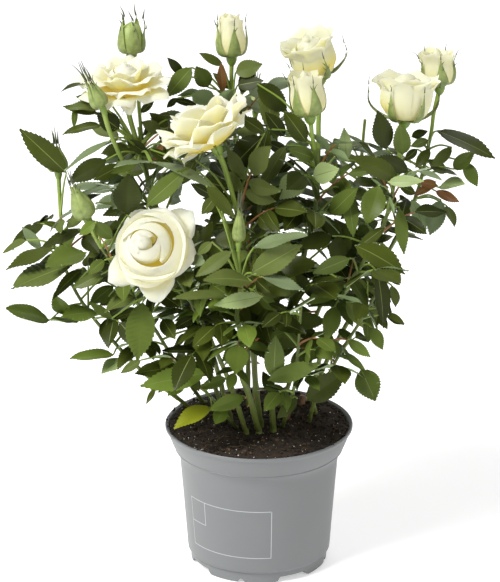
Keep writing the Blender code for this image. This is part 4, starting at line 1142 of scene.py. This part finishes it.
# %% Every flower replaces its own solid
for name, flower in FLOWERS.items():
    chance = random.Random(name)
    surface = Surface()
    stalk = flower_stalk(flower)
    base = stalk[-1]
    turned = frame_along(Vector(flower.facing))
    stand = Stand(surface, base, turned)
    thick = 0.8 if flower.radius < 4 else 1.1 if flower.kind == "bud" else 1.35
    radii = [thick * (1 + 0.25 * (i / (STALK_RINGS - 1)) ** 3) for i in range(STALK_RINGS)]
    tube(surface, stalk, radii, "stalk_green", 10, rough=0.05)
    if flower.kind == "open":
        core = HEARTS[name]
        heart(stand, flower.radius * core.radius, flower.height * core.height, core.count, "petal",
              chance, drop=core.drop, lean=core.lean)
        open_bloom(stand, flower, OPEN_RINGS[name], chance)
    elif flower.kind == "cup":
        cup_bloom(stand, flower, chance, CUPS[name])
    elif flower.radius > 7.5:
        cream_bud(stand, flower, chance, MOUTHS[name])
    else:
        green_bud(stand, flower, chance, *CROWNS.get(name, CLOSED))
    piece = make_piece(name + "_fine", surface, 80)
    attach(piece, "root")
    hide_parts(name)
    blocked.add("flower", [rough_tube(stalk[::3] + [base], 1.5)])
    reach = flower.radius * 0.95
    if flower.kind == "bud":
        body = rough_tube([base, base + turned.col[2] * flower.height], reach)
    else:
        rim = 0.8 if flower.kind == "cup" else 0.45
        low, high = base + turned.col[2] * 2, base + turned.col[2] * flower.height
        middle = base + turned.col[2] * flower.height * rim
        body = rough_tube([low, middle, high], 1.0, 8)
        body.verts[:8] = [low + (v - low) * 3 for v in body.verts[:8]]
        body.verts[8:16] = [middle + (v - middle) * reach for v in body.verts[8:16]]
        body.verts[16:] = [high + (v - high) * reach * 0.6 for v in body.verts[16:]]
    blocked.add("flower", [body])

# %% [markdown]
# ## Leaves that carry the outline, then the rest
# The outer leaves end where the crown's outline is. The others follow the rule of the golden angle.

# %% The leaves that are seen best
VIEW_PITCH = math.radians(20)
VIEW_AIM = Vector((-5, 0, 159))
VIEW_RIGHT = Vector((1, 0, 0))
VIEW_UP = Vector((0, math.sin(VIEW_PITCH), math.cos(VIEW_PITCH)))
VIEW_AHEAD = Vector((0, math.cos(VIEW_PITCH), -math.sin(VIEW_PITCH)))
EYE_DISTANCE = 1500
EYE = VIEW_AIM - VIEW_AHEAD * EYE_DISTANCE
FACINGS = {"front": (0, -0.9, 0.45), "up": (0, -0.25, 0.95), "left": (-0.6, -0.6, 0.5),
           "right": (0.6, -0.6, 0.5), "edge": (0, 0.05, 1.0), "out_left": (-0.4, -0.3, 0.85),
           "out_right": (0.4, -0.3, 0.85)}
VIEW_MIDDLE = (250, 291)        # the middle of the main view, in its pixels from the top left
VIEW_PIXELS = 1.8187            # pixels of the main view to a millimetre at the plant's middle
NARROWEST = 3                   # the narrowest leaf there, in millimetres
# Each leaf is (root, tip, width, depth, green), and its facing where that isn't "front". Its root,
# its tip and its width are in pixels of the main view: across and down, across and down, and one
# number. Its depth is how many millimetres its tip stands behind its shoot.
SHOWN_LEAVES = {
    "far_left": [
        (66, 172, 23, 131, 25, -16, "dark"), (56, 248, 5, 266, 13, -22, "dark", "out_left"),
        (74, 263, 10, 285, 24, -26, "grey", "out_left"), (86, 252, 46, 258, 18, -30, "mid", "up"),
        (82, 270, 50, 292, 12, -20, "dark", "left"), (84, 230, 36, 246, 15, -10, "deep", "out_left"),
        (26, 240, 1, 250, 9, -2, "grey", "out_left"), (40, 250, 22, 228, 13, 4, "blue"),
        (66, 228, 87, 213, 11, -4, "grey"), (50, 320, 6, 308, 12, -22, "mid", "out_left"),
        (70, 317, 52, 298, 13, -16, "bright", "left"), (97, 313, 62, 311, 12, -22, "bright", "up"),
        (113, 354, 70, 357, 13, -22, "bright", "up"), (123, 358, 100, 371, 12, -20, "light", "up"),
        (62, 228, 44, 221, 8, -10, "dark"), (78, 322, 52, 318, 11, -20, "bright", "out_left"),
        (122, 270, 100, 282, 11, -6, "deep"),
    ],
    "left_rear": [
        (110, 140, 62, 168, 6, -40, "blue", "edge"), (102, 108, 66, 105, 12, -10, "grey", "out_left"),
        (100, 125, 63, 127, 11, -14, "dark", "out_left"), (150, 161, 116, 158, 6, -46, "blue", "edge"),
        (152, 162, 217, 176, 7, -46, "blue", "edge"), (119, 130, 97, 112, 20, -8, "deep"),
        (91, 100, 78, 96, 8, -8, "mid"), (160, 131, 143, 121, 12, -6, "grey"),
        (106, 160, 70, 180, 20, -22, "deep"), (120, 166, 95, 178, 14, -24, "dark"),
        (138, 162, 112, 172, 11, -28, "mid"), (162, 144, 154, 160, 8, -16, "reddish"),
        (128, 140, 150, 156, 12, -6, "deep"), (98, 112, 65, 105, 10, -8, "dark"),
        (75, 108, 74, 127, 7, -10, "mid"), (160, 122, 142, 134, 13, 0, "deep"),
        (168, 128, 150, 112, 11, 2, "dark"), (138, 150, 118, 160, 12, -2, "deep"),
        (172, 117, 159, 115, 7, -6, "dark"), (86, 84, 61, 86, 6, -8, "deep", "edge"),
        (140, 112, 154, 100, 9, 0, "deep"),
    ],
    "left_front": [
        (142, 302, 137, 361, 33, -30, "mid"), (127, 214, 129, 176, 30, -8, "deep"),
        (146, 206, 184, 169, 21, -10, "mid"), (136, 296, 104, 306, 14, -24, "grey", "up"),
        (100, 275, 74, 288, 12, -12, "grey"), (104, 260, 88, 272, 13, -12, "mid"),
        (112, 318, 92, 303, 10, -10, "mid"), (196, 316, 172, 330, 12, -10, "deep"),
    ],
    "low_left": [
        (206, 372, 140, 385, 27, -22, "bright"), (155, 387, 146, 403, 3, -12, "dark"),
        (244, 396, 210, 409, 18, -24, "bright"), (211, 408, 174, 420, 15, -26, "yellowing", "up"),
        (224, 408, 216, 423, 12, -24, "bright"), (141, 360, 121, 372, 9, -8, "grey"),
        (226, 378, 200, 388, 12, -14, "mid"),
    ],
    "centre": [
        (252, 273, 300, 246, 21, -20, "grey"), (254, 247, 306, 232, 12, -18, "blue", "up"),
        (262, 276, 305, 289, 12, -24, "blue", "up"), (252, 282, 208, 271, 12, -24, "grey", "up"),
        (262, 296, 218, 304, 12, -24, "light"), (228, 297, 176, 291, 10, -26, "grey", "up"),
        (245, 345, 222, 360, 18, -18, "mid"), (206, 186, 236, 219, 15, -8, "dark"),
        (212, 241, 198, 254, 10, -6, "grey"), (231, 251, 195, 276, 14, -12, "grey"),
        (216, 197, 201, 215, 11, -2, "dark"),
    ],
    "low_front": [
        (290, 313, 314, 297, 7, -18, "light", "edge"), (268, 381, 319, 363, 20, -28, "mid"),
        (273, 379, 276, 340, 16, -22, "mid"), (298, 399, 277, 418, 14, -10, "deep"),
        (273, 394, 262, 371, 14, 14, "deep"),
    ],
    "right_centre": [
        (302, 174, 281, 196, 26, -26, "light"), (287, 146, 259, 189, 19, -16, "grey"),
        (330, 215, 356, 190, 18, -22, "mid"), (268, 130, 256, 180, 18, -8, "dark"),
        (349, 190, 354, 236, 14, -28, "mid"), (314, 177, 336, 170, 19, -22, "light"),
        (313, 158, 292, 150, 13, -14, "mid"), (306, 141, 286, 113, 19, -8, "dark"),
        (284, 137, 266, 112, 14, -4, "deep"), (344, 282, 306, 304, 16, -36, "mid"),
        (258, 84, 290, 112, 24, 8, "dark"), (338, 232, 315, 214, 14, -6, "dark"),
        (288, 152, 267, 142, 12, -4, "deep"), (296, 160, 280, 172, 9, -4, "deep"),
    ],
    "right_low": [
        (306, 401, 344, 372, 23, -18, "dark"), (388, 312, 404, 323, 8, -8, "dark"),
        (371, 327, 382, 350, 14, -14, "mid"), (349, 341, 370, 356, 12, -18, "bright"),
        (344, 352, 364, 370, 7, -20, "mid"), (361, 369, 375, 400, 27, -22, "mid"),
        (346, 302, 363, 328, 12, -18, "grey"),
    ],
    "right_rear": [
        (418, 150, 404, 160, 9, -6, "deep"), (438, 131, 498, 152, 18, -18, "dark", "out_right"),
        (452, 147, 431, 167, 13, -14, "grey"), (454, 169, 471, 153, 13, -16, "mid"),
        (465, 161, 477, 185, 15, -18, "mid"), (440, 187, 463, 180, 9, -20, "light", "up"),
        (428, 168, 457, 173, 6, -22, "deep", "edge"), (436, 182, 416, 194, 10, -24, "reddish"),
        (437, 186, 421, 181, 7, -22, "reddish"), (436, 191, 460, 201, 8, -26, "reddish"),
        (441, 200, 430, 235, 20, -28, "blue"), (446, 206, 455, 226, 11, -26, "grey", "right"),
        (412, 136, 427, 131, 9, -10, "deep"), (412, 200, 427, 231, 14, -20, "under"),
        (430, 150, 415, 168, 13, -10, "dark"), (428, 140, 412, 146, 9, -12, "mid"),
        (447, 172, 430, 160, 12, -8, "grey"),
    ],
    "right": [
        (386, 150, 379, 115, 20, -14, "deep"), (346, 160, 345, 131, 12, -8, "light"),
        (398, 178, 357, 157, 18, -18, "dark"), (356, 246, 407, 268, 23, -28, "dark", "right"),
        (378, 271, 388, 327, 19, -26, "deep", "right"), (392, 286, 398, 305, 9, -22, "grey", "right"),
        (403, 154, 401, 128, 17, -18, "mid"), (409, 171, 379, 156, 19, -10, "deep"),
        (388, 182, 421, 180, 12, -22, "light"), (380, 186, 366, 224, 25, -24, "mid"),
        (350, 258, 313, 273, 16, -30, "mid"), (384, 228, 357, 247, 13, -18, "dark"),
        (350, 278, 369, 305, 13, -26, "grey", "right"), (399, 208, 404, 255, 16, -18, "mid"),
        (374, 240, 391, 236, 9, -10, "deep"),
    ],
    "rear": [
        (191, 68, 167, 97, 22, -18, "mid"), (208, 88, 197, 67, 15, -16, "mid"),
        (222, 66, 200, 53, 9, -4, "dark"), (182, 74, 168, 59, 10, -10, "deep"),
        (240, 93, 253, 62, 16, -8, "deep"), (263, 83, 277, 141, 20, -20, "grey"),
        (236, 72, 259, 64, 16, -12, "grey"), (238, 86, 261, 80, 14, -14, "deep"),
        (232, 90, 213, 73, 11, 4, "deep"), (197, 105, 172, 99, 10, 2, "deep"),
        (223, 93, 221, 63, 5, -6, "reddish"), (178, 98, 166, 108, 8, -2, "deep"),
    ],
    "centre_back": [
        (262, 136, 228, 170, 27, 4, "deep"), (196, 160, 180, 186, 12, 0, "dark"),
        (150, 150, 176, 166, 12, 6, "deep"), (264, 132, 240, 117, 14, 4, "dark"),
        (214, 197, 191, 184, 11, -4, "deep"),
    ],
    "left_back": [
        (95, 222, 79, 234, 11, -8, "bright"), (112, 238, 94, 222, 12, -12, "mid"),
    ],
}


def in_view(x, y):
    """A pixel of the main view in whole millimetres across and up."""
    left, top = VIEW_MIDDLE
    return round((x - left) / VIEW_PIXELS + VIEW_AIM.x), round((top - y) / VIEW_PIXELS)


def seen_place(across, up, y):
    """The place at a depth that shows at so many millimetres across and up in the main view."""
    ray = VIEW_AHEAD * EYE_DISTANCE + VIEW_RIGHT * (across - VIEW_AIM.x) + VIEW_UP * up
    return EYE + ray * ((y - EYE.y) / ray.y)


def seen_width(place, along, normal):
    """How wide a blade one millimetre across looks from the eye."""
    across = along.cross(normal).normalized()
    sight = (place - EYE).normalized()
    return max(0.35, abs(across.cross(along.normalized()).dot(sight)))


def nearest_place(line, across, up):
    """The place of a shoot that shows nearest to a point of the main view."""
    return min(line, key=lambda place: (seen_place(across, up, place.y) - place).length)

# %% Set the leaves
LEAF_TRIES = 16
LEAF_CLEARANCE = 0.5
LEAF_OVER_SOIL = 4.0
SAME_PLACE = 14.0
FINER = 3.2                     # how many leaves there are for each one of the solids


def clear_of_all(plan, shoot):
    test = rough_leaf(plan, LEAF_CLEARANCE)
    low = min(v.z for body in test for v in body.verts)
    if low < SOIL_HEIGHT + LEAF_OVER_SOIL or blocked.touched_by(test, "stem_" + shoot):
        return False
    blocked.add("leaf", rough_leaf(plan, 0.0))
    return True


def shown_leaf(name, leaf, chance):
    """One leaflet on its own stalk, moved toward or from the eye until it is clear."""
    x, y, tip_x, tip_y, width, depth, green, facing = (*leaf, "front")[:8]
    root, tip = in_view(x, y), in_view(tip_x, tip_y)
    width = max(NARROWEST, round(width / VIEW_PIXELS))
    joint = nearest_place(leafy[name], *root)
    normal = Vector(FACINGS[facing])
    for attempt in range(LEAF_TRIES):
        shift = 2.5 * ((attempt + 1) // 2) * (-1) ** attempt
        foot = seen_place(*root, joint.y + 0.6 * depth + shift)
        end = seen_place(*tip, joint.y + depth + shift)
        along = end - foot
        shape = 0.86 * width / seen_width(foot, along, normal) / along.length
        shape = min(max(shape, 0.3), 0.9)
        test = rough_blade(foot, along, normal, along.length, LEAF_CLEARANCE, shape)
        if blocked.touched_by([test], "stem_" + name):
            continue
        blocked.add("leaf", [rough_blade(foot, along, normal, along.length, 0.0, shape)])
        start = min(leafy[name], key=lambda place: (place + UP * 6 - foot).length)
        bow = (start + foot) / 2 + UP * (foot - start).length * 0.12
        stalk = smooth_line([start, bow, foot], 4)
        tube(twigs, stalk, [0.7 - 0.03 * i for i in range(len(stalk))], "stalk_green", 5)
        add_leaflet(LEAF_SURFACES[SHOOTS[name].side], foot, along, normal, along.length,
                    leaf_look(foot.z, chance, "leaf_" + green), chance, shape / 0.99)
        return end
    print("no room for a shown leaf of", name, root)
    return None


def outer_leaves(name, chance):
    for share, tip in OUTER_LEAVES.get(name, []):
        if any((Vector(tip) - end).length < SAME_PLACE for end in shown_tips):
            continue
        for attempt in range(LEAF_TRIES):
            start = point_at(leafy[name], max(share - 0.02 * attempt, 0.05))[0]
            nudge = Vector([chance.uniform(-1, 1) * attempt for _ in range(3)])
            plan = plan_leaf(start, Vector(tip) + nudge, 2, chance, end_share=0.5)
            if clear_of_all(plan, name):
                yield plan
                break


# Windows of open sky in the main view, as (left, right, low, high) in millimetres.
OPEN_SKY = [(2, 7, 71, 84), (-44, -33, 38, 60), (-90, -85, 71, 77), (-5, 5, -47, -36),
            (-26, -21, -55, -48), (-29, -24, -43, -37), (32, 39, 18, 22), (-51, -47, -33, -30),
            (28, 36, -21, -14), (80, 100, -17, 16), (84, 100, 16, 30), (71, 80, -38, -19),
            (35, 50, 90, 107), (52, 60, 86, 96)]


def before_open_sky(plan):
    """Whether a leaf would hide one of the windows in the main view."""
    for body in rough_leaf(plan, 0.0):
        places = [v - VIEW_AIM for v in body.verts]
        places.append(sum(places, Vector()) / len(places))
        for place in places:
            across, up = place.dot(VIEW_RIGHT) + VIEW_AIM.x, place.dot(VIEW_UP)
            if any(left < across < right and low < up < high for left, right, low, high in OPEN_SKY):
                return True
    return False


def own_leaves(name, chance):
    shoot = SHOOTS[name]
    count = round(shoot.count * FINER)
    for i in range(count):
        high = (i + 0.6) / count
        for attempt in range(LEAF_TRIES):
            place = 0.04 + 0.92 * high + chance.uniform(-1, 1) * 0.012 * attempt
            start = point_at(leafy[name], min(max(place, 0.03), 0.97))[0]
            bearing = shoot.bearing + GOLDEN_ANGLE * i + chance.uniform(-12, 12) * attempt
            rise = 8 + 30 * high - 2 * attempt + chance.uniform(-12, 12)
            length = shoot.length * chance.uniform(0.80, 1.1)
            length *= (1 - 0.25 * high) * (1 - 0.03 * attempt)
            level = math.cos(math.radians(rise))
            way = Vector(polar(level, math.radians(bearing), math.sin(math.radians(rise))))
            tip = start + way * length
            if not inside_crown(tip):
                continue
            plan = plan_leaf(start, tip, 2 if length > 40 else 1, chance)
            if not before_open_sky(plan) and clear_of_all(plan, name):
                yield plan
                break


shown_tips = []
for name, leaves in SHOWN_LEAVES.items():
    chance = random.Random("shown " + name)
    ends = [shown_leaf(name, leaf, chance) for leaf in leaves]
    shown_tips += [end for end in ends if end]
tally = {"shown": len(shown_tips), "outer": 0, "own": 0}
for kind, grow in (("outer", outer_leaves), ("own", own_leaves)):
    for name in SHOOTS:
        chance = random.Random(f"{kind} {name}")
        for plan in grow(name, chance):
            look = leaf_look(plan.blades[-1][0].z, chance)
            draw_leaf(LEAF_SURFACES[SHOOTS[name].side], twigs, plan, look, chance)
            tally[kind] += 1
print(tally)

# %% Leaves, stems and canes become pieces
masses = {side: ["foliage_" + name for name, shoot in SHOOTS.items() if shoot.side == side]
          for side in LEAF_SURFACES}
for side, surface in LEAF_SURFACES.items():
    piece = make_piece("leaves_" + side, surface, 60)
    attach(piece, "root")
    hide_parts(*masses[side])
piece = make_piece("stems_and_twigs", twigs, 50)
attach(piece, "root")
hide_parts(*["foliage_" + name for name in SHOOTS])
piece = make_piece("bare_canes", canes, 50)
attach(piece, "root")
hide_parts(*["cane_" + name for name in SHOOTS])

# %% [markdown]
# ## The pot
# The pot is thin moulded polypropylene. Its half section is turned round the axis: a rolled lip, a
# collar that ends in a fine bead, and a long plain taper down to four feet. The feet are made by
# lifting the lowest rings where the drain gaps and the notches are.

# %% The pot's finish
PLASTIC_GRAIN = 900


def plastic_material():
    material, tree, shader = new_material("grey_plastic", 0.42)
    add_mottling(tree, shader, (0.130, 0.136, 0.138), (0.152, 0.158, 0.160), 25, 1.0)
    add_relief(tree, shader, grain(tree, PLASTIC_GRAIN), 0.3, 0.05)
    return material


MATERIALS["grey_plastic"] = plastic_material()
add_finishes({"pot_print": ((0.34, 0.35, 0.36), (0.40, 0.41, 0.42), 300, 1.0, 0.5)})

# %% The pot's shape
TURN_STEPS = 180
FIRST_GAP = 30.0
GAP_TURN = 20.0
GAP_SLOPE = 4.5
GAP_RISE = 5.4
NOTCH_TURN = 6.0
NOTCH_RISE = 3.0
OUTSIDE = [
    (51.2, 80.6), (51.7, 80.95), (52.2, 80.85), (52.5, 80.4), (52.45, 79.6), (52.1, 79.0),
    (51.5, 78.8), (51.2, 78.5), (51.0, 77.5), (49.6, 73.5), (48.2, 70.0), (47.2, 68.1),
    (47.35, 67.8), (47.2, 67.4), (46.5, 67.0), (45.6, 65.8), (44.9, 64.0), (44.5, 62.2),
    (44.2, 60.0), (42.6, 40.0), (41.1, 20.0), (40.3, 8.4), (40.1, 6.9), (39.5, 6.3),
]
FOOT = [(38.8, 6.1), (38.6, 3.0), (38.4, 0.0), (34.6, 0.0), (34.2, 5.7)]
UNDERSIDE = [(25.4, 5.7), (25.0, 0.0), (0.05, 0.0)]
INSIDE = [(0.05, 7.4), (38.2, 7.4), (42.8, 60.0), (45.2, 66.6), (49.4, 77.0), (50.2, 80.0),
          (50.7, 80.5)]


def foot_lift(angle):
    """How far the foot's lowest ring is lifted at an angle round the pot."""
    turn = (math.degrees(angle) + 90 - FIRST_GAP + 45) % 90 - 45
    if abs(turn) < GAP_TURN / 2 + GAP_SLOPE:
        return GAP_RISE * min(1.0, (GAP_TURN / 2 + GAP_SLOPE - abs(turn)) / GAP_SLOPE)
    middle = (turn + 90) % 90 - 45
    if abs(middle) < NOTCH_TURN / 2:
        return NOTCH_RISE * (1 - abs(middle) / (NOTCH_TURN / 2))
    return 0.0


profile = INSIDE + OUTSIDE + FOOT + UNDERSIDE
foot_rows = {len(INSIDE) + len(OUTSIDE) + i for i in (2, 3)}
pot = Surface()
points = []
for row, (radius, height) in enumerate(profile):
    for angle in turns(TURN_STEPS):
        lift = foot_lift(angle) if row in foot_rows else 0.0
        points.append(polar(radius, angle, height + lift))
pot.add(points, turned_over(capped_faces(len(profile), TURN_STEPS)), "grey_plastic")
pot_piece = make_piece("flower_pot", pot, 40)
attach(pot_piece, "root")
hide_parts("pot")

# %% [markdown]
# A plain frame of thin printed lines stands where such pots carry their growing notes. It holds no
# words. Each line is a very thin ribbon that follows the pot's round wall.

# %% A plain printed frame
PRINT_RAISE = 0.06
PRINT_LINE = 0.45
PRINT_STEPS = 24
PRINT_LEFT, PRINT_RIGHT = 209.0, 279.0          # degrees round the pot, 270 at the front
PRINT_LOW, PRINT_HIGH = 16.0, 45.0              # heights on the wall
CELL_RIGHT, CELL_LOW = 225.0, 31.0


def wall_radius(height):
    outer = sorted(((z, r) for r, z in OUTSIDE if z < 67.0))
    return float(np.interp(height, [z for z, r in outer], [r for z, r in outer])) + PRINT_RAISE


def printed_line(surface, left, right, low, high):
    """A line of print, level or upright, between two turns and two heights."""
    right += math.degrees(PRINT_LINE / wall_radius(low)) if left == right else 0.0
    high += PRINT_LINE if low == high else 0.0
    points = [polar(wall_radius(height), math.radians(left + (right - left) * (i / PRINT_STEPS)), height)
              for i in range(PRINT_STEPS + 1) for height in (low, high)]
    surface.add(points, turned_over(grid_faces(PRINT_STEPS + 1, 2)), "pot_print")


printed = Surface()
for height, right in ((PRINT_LOW, PRINT_RIGHT), (PRINT_HIGH, PRINT_RIGHT), (CELL_LOW, CELL_RIGHT)):
    printed_line(printed, PRINT_LEFT, right, height, height)
for turn, low in ((PRINT_LEFT, PRINT_LOW), (PRINT_RIGHT, PRINT_LOW), (CELL_RIGHT, CELL_LOW)):
    printed_line(printed, turn, turn, low, PRINT_HIGH)
print_piece = make_piece("pot_print_frame", printed)
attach(print_piece, "root")

# %% [markdown]
# ## The peat
# Peat is dark, damp and crumbly, with pale specks of perlite and brown fibres in it. A bumpy disc
# fills the pot, and crumbs, specks and fibres are scattered on it.

# %% Peat finishes
add_finishes({
    "peat": ((0.008, 0.0045, 0.002), (0.034, 0.018, 0.008), 320, 1.0, 0.95, 0.8),
    "peat_crumb": ((0.010, 0.006, 0.004), (0.036, 0.022, 0.012), 400, 1.0, 0.95, 0.4),
    "peat_red": ((0.085, 0.035, 0.018), (0.14, 0.07, 0.04), 400, 1.0, 0.9),
    "perlite": ((0.55, 0.50, 0.42), (0.80, 0.78, 0.72), 600, 1.0, 0.8),
    "fibre": ((0.07, 0.037, 0.016), (0.17, 0.10, 0.045), 300, 1.0, 0.8),
})

# %% The bumpy surface
SOIL_RADIUS = 49.9
SOIL_FOOT = (43.5, 66.8)           # radius and height of the peat's skirt, inside the wall
SOIL_RINGS = 44
SOIL_SIDES = 150


def soil_height(x, y):
    """The peat's height, with broad heaps and small lumps. It reaches the pot's rim."""
    place = Vector((x, y, 0))
    broad = noise.noise(place * 0.045 + Vector((3, 1, 0))) * 3.2
    lumps = noise.noise(place * 0.22) * 1.3 + noise.noise(place * 0.55) * 0.7
    heap = 3.2 * math.exp(-((x - 30) ** 2 + (y - 18) ** 2) / 260)
    from_axis = math.hypot(x, y) / SOIL_RADIUS
    rise = 2.4 * max(0.0, from_axis - 0.7) / 0.3
    return min(SOIL_HEIGHT + broad + lumps + heap + rise, RIM_HEIGHT - 0.5 + 8 * (1 - from_axis))


soil = Surface()
points = []
for ring in range(1, SOIL_RINGS + 1):
    for angle in turns(SOIL_SIDES):
        x, y, _ = polar(SOIL_RADIUS * ring / SOIL_RINGS, angle)
        points.append((x, y, soil_height(x, y)))
foot = len(points)
points += [polar(SOIL_FOOT[0], angle, SOIL_FOOT[1]) for angle in turns(SOIL_SIDES)]
skirt = [tuple(foot - SOIL_SIDES + i for i in face) for face in grid_faces(2, SOIL_SIDES, closed=True)]
faces = [*turned_over(grid_faces(SOIL_RINGS, SOIL_SIDES, closed=True)), tuple(range(SOIL_SIDES)),
         *turned_over(skirt), tuple(reversed(range(foot, foot + SOIL_SIDES)))]
soil.add(points, faces, "peat")
soil_piece = make_piece("peat_surface", soil, 70)
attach(soil_piece, "root")
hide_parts("soil")

# %% Crumbs, specks and fibres
def lump_template():
    shape = bmesh.new()
    bmesh.ops.create_icosphere(shape, subdivisions=1, radius=1.0)
    shape.verts.index_update()
    points = np.array([vert.co for vert in shape.verts])
    faces = [tuple(vert.index for vert in face.verts) for face in shape.faces]
    shape.free()
    return points, faces


LUMP_POINTS, LUMP_FACES = lump_template()


def add_lump(surface, place, size, finish, chance):
    stray = np.array([[chance.uniform(0.6, 1.35)] for _ in LUMP_POINTS])
    squash = np.array([chance.uniform(0.7, 1.3), chance.uniform(0.7, 1.3), chance.uniform(0.6, 1.0)])
    surface.add(np.array(place) + LUMP_POINTS * stray * squash * size, LUMP_FACES, finish)


CRUMBS, RIM_CRUMBS, FIBRES = 2600, 80, 48
FIBRE_RADIUS = 0.14
PEAT_PARTS = {"peat_crumb": 58, "peat": 26, "peat_red": 4, "perlite": 12}


def place_on_peat(reach, chance):
    radius = reach * math.sqrt(chance.random())
    return polar(radius, chance.uniform(0, math.tau))[:2]


chance = random.Random("crumbs")
crumbs = Surface()
for i in range(CRUMBS):
    x, y = place_on_peat(SOIL_RADIUS - 0.1, chance)
    size = 0.3 + 1.1 * chance.random() ** 3
    finish = pick(chance, PEAT_PARTS)
    if finish == "perlite":
        size = chance.uniform(0.14, 0.42)
    add_lump(crumbs, (x, y, soil_height(x, y) + size * 0.25), size, finish, chance)
for i in range(RIM_CRUMBS):
    angle = math.radians(chance.uniform(130, 350))
    radius = chance.uniform(49.6, 52.0)
    size = 0.3 + 0.6 * chance.random() ** 2
    add_lump(crumbs, polar(radius, angle, RIM_HEIGHT + size * 0.3), size, "peat_crumb", chance)
for i in range(FIBRES):
    x, y = place_on_peat(SOIL_RADIUS - 3.9, chance)
    bearing = chance.uniform(0, math.tau)
    reach = chance.uniform(2.5, 9)
    line = []
    for step in range(6):
        share = step / 5 - 0.5
        px = x + math.cos(bearing + share) * reach * share
        py = y + math.sin(bearing + share) * reach * share
        if math.hypot(px, py) > SOIL_RADIUS - 1.4:
            px, py = px * 0.95, py * 0.95
        line.append(Vector((px, py, soil_height(px, py) + 0.5 + chance.uniform(0, 0.9))))
    tube(crumbs, line, [FIBRE_RADIUS] * len(line), "fibre", 4)
crumb_piece = make_piece("peat_crumbs", crumbs, 40)
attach(crumb_piece, "root")

# %% [markdown]
# ## Floor, light and camera
# The plant stands on a pale floor in soft light from the front and the left, as in a bright studio.

# %% Stage
WHITE = (1, 1, 1, 1)
bpy.ops.mesh.primitive_plane_add(size=12, location=(0, 2, -0.0005))
floor = bpy.context.object
floor.name = "floor"
floor.data.materials.append(new_material("pale_floor", 0.7, Base_Color=(0.86, 0.86, 0.86, 1),
                                         Emission_Color=WHITE, Emission_Strength=0.42)[0])
floor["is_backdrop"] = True


def soft_light(name, place, aim, size, power):
    data = bpy.data.lights.new(name, "AREA")
    data.size = size
    data.energy = power
    light = bpy.data.objects.new(name, data)
    light.location = place
    light.rotation_euler = (Vector(aim) - Vector(place)).to_track_quat("-Z", "Y").to_euler()
    bpy.context.scene.collection.objects.link(light)


soft_light("key", (-1.15, -0.85, 1.60), (0, 0, 0.15), 0.9, 64)
soft_light("fill", (1.3, -1.1, 0.9), (0, 0, 0.15), 1.2, 10)
soft_light("back", (0.2, 1.3, 1.5), (0, 0, 0.2), 1.4, 12)
world = bpy.data.worlds.new("studio")
bpy.context.scene.world = world
world.use_nodes = True
background = world.node_tree.nodes["Background"]
background.inputs["Color"].default_value = WHITE
background.inputs["Strength"].default_value = 0.28

# %% Camera
camera_data = bpy.data.cameras.new("camera")
camera_data.lens = 168.74        # long, as the eye stands 1.5 m from the plant
camera_data.sensor_width = 36.0
camera_data.sensor_fit = "AUTO"
camera = bpy.data.objects.new("camera", camera_data)
camera.location = EYE * MM
camera.rotation_euler = (math.pi / 2 - VIEW_PITCH, 0, 0)
bpy.context.scene.collection.objects.link(camera)
bpy.context.scene.camera = camera
bpy.context.scene.view_settings.view_transform = "Standard"

# %% Sizes, and the end
dressed_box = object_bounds()
boxes = {"cad": [list(corner) for corner in cad_box], "visual": [list(corner) for corner in dressed_box]}
print("solids", [round((b - a) / MM, 1) for a, b in zip(*boxes["cad"])], "mm")
print("dressed", [round((b - a) / MM, 1) for a, b in zip(*boxes["visual"])], "mm")
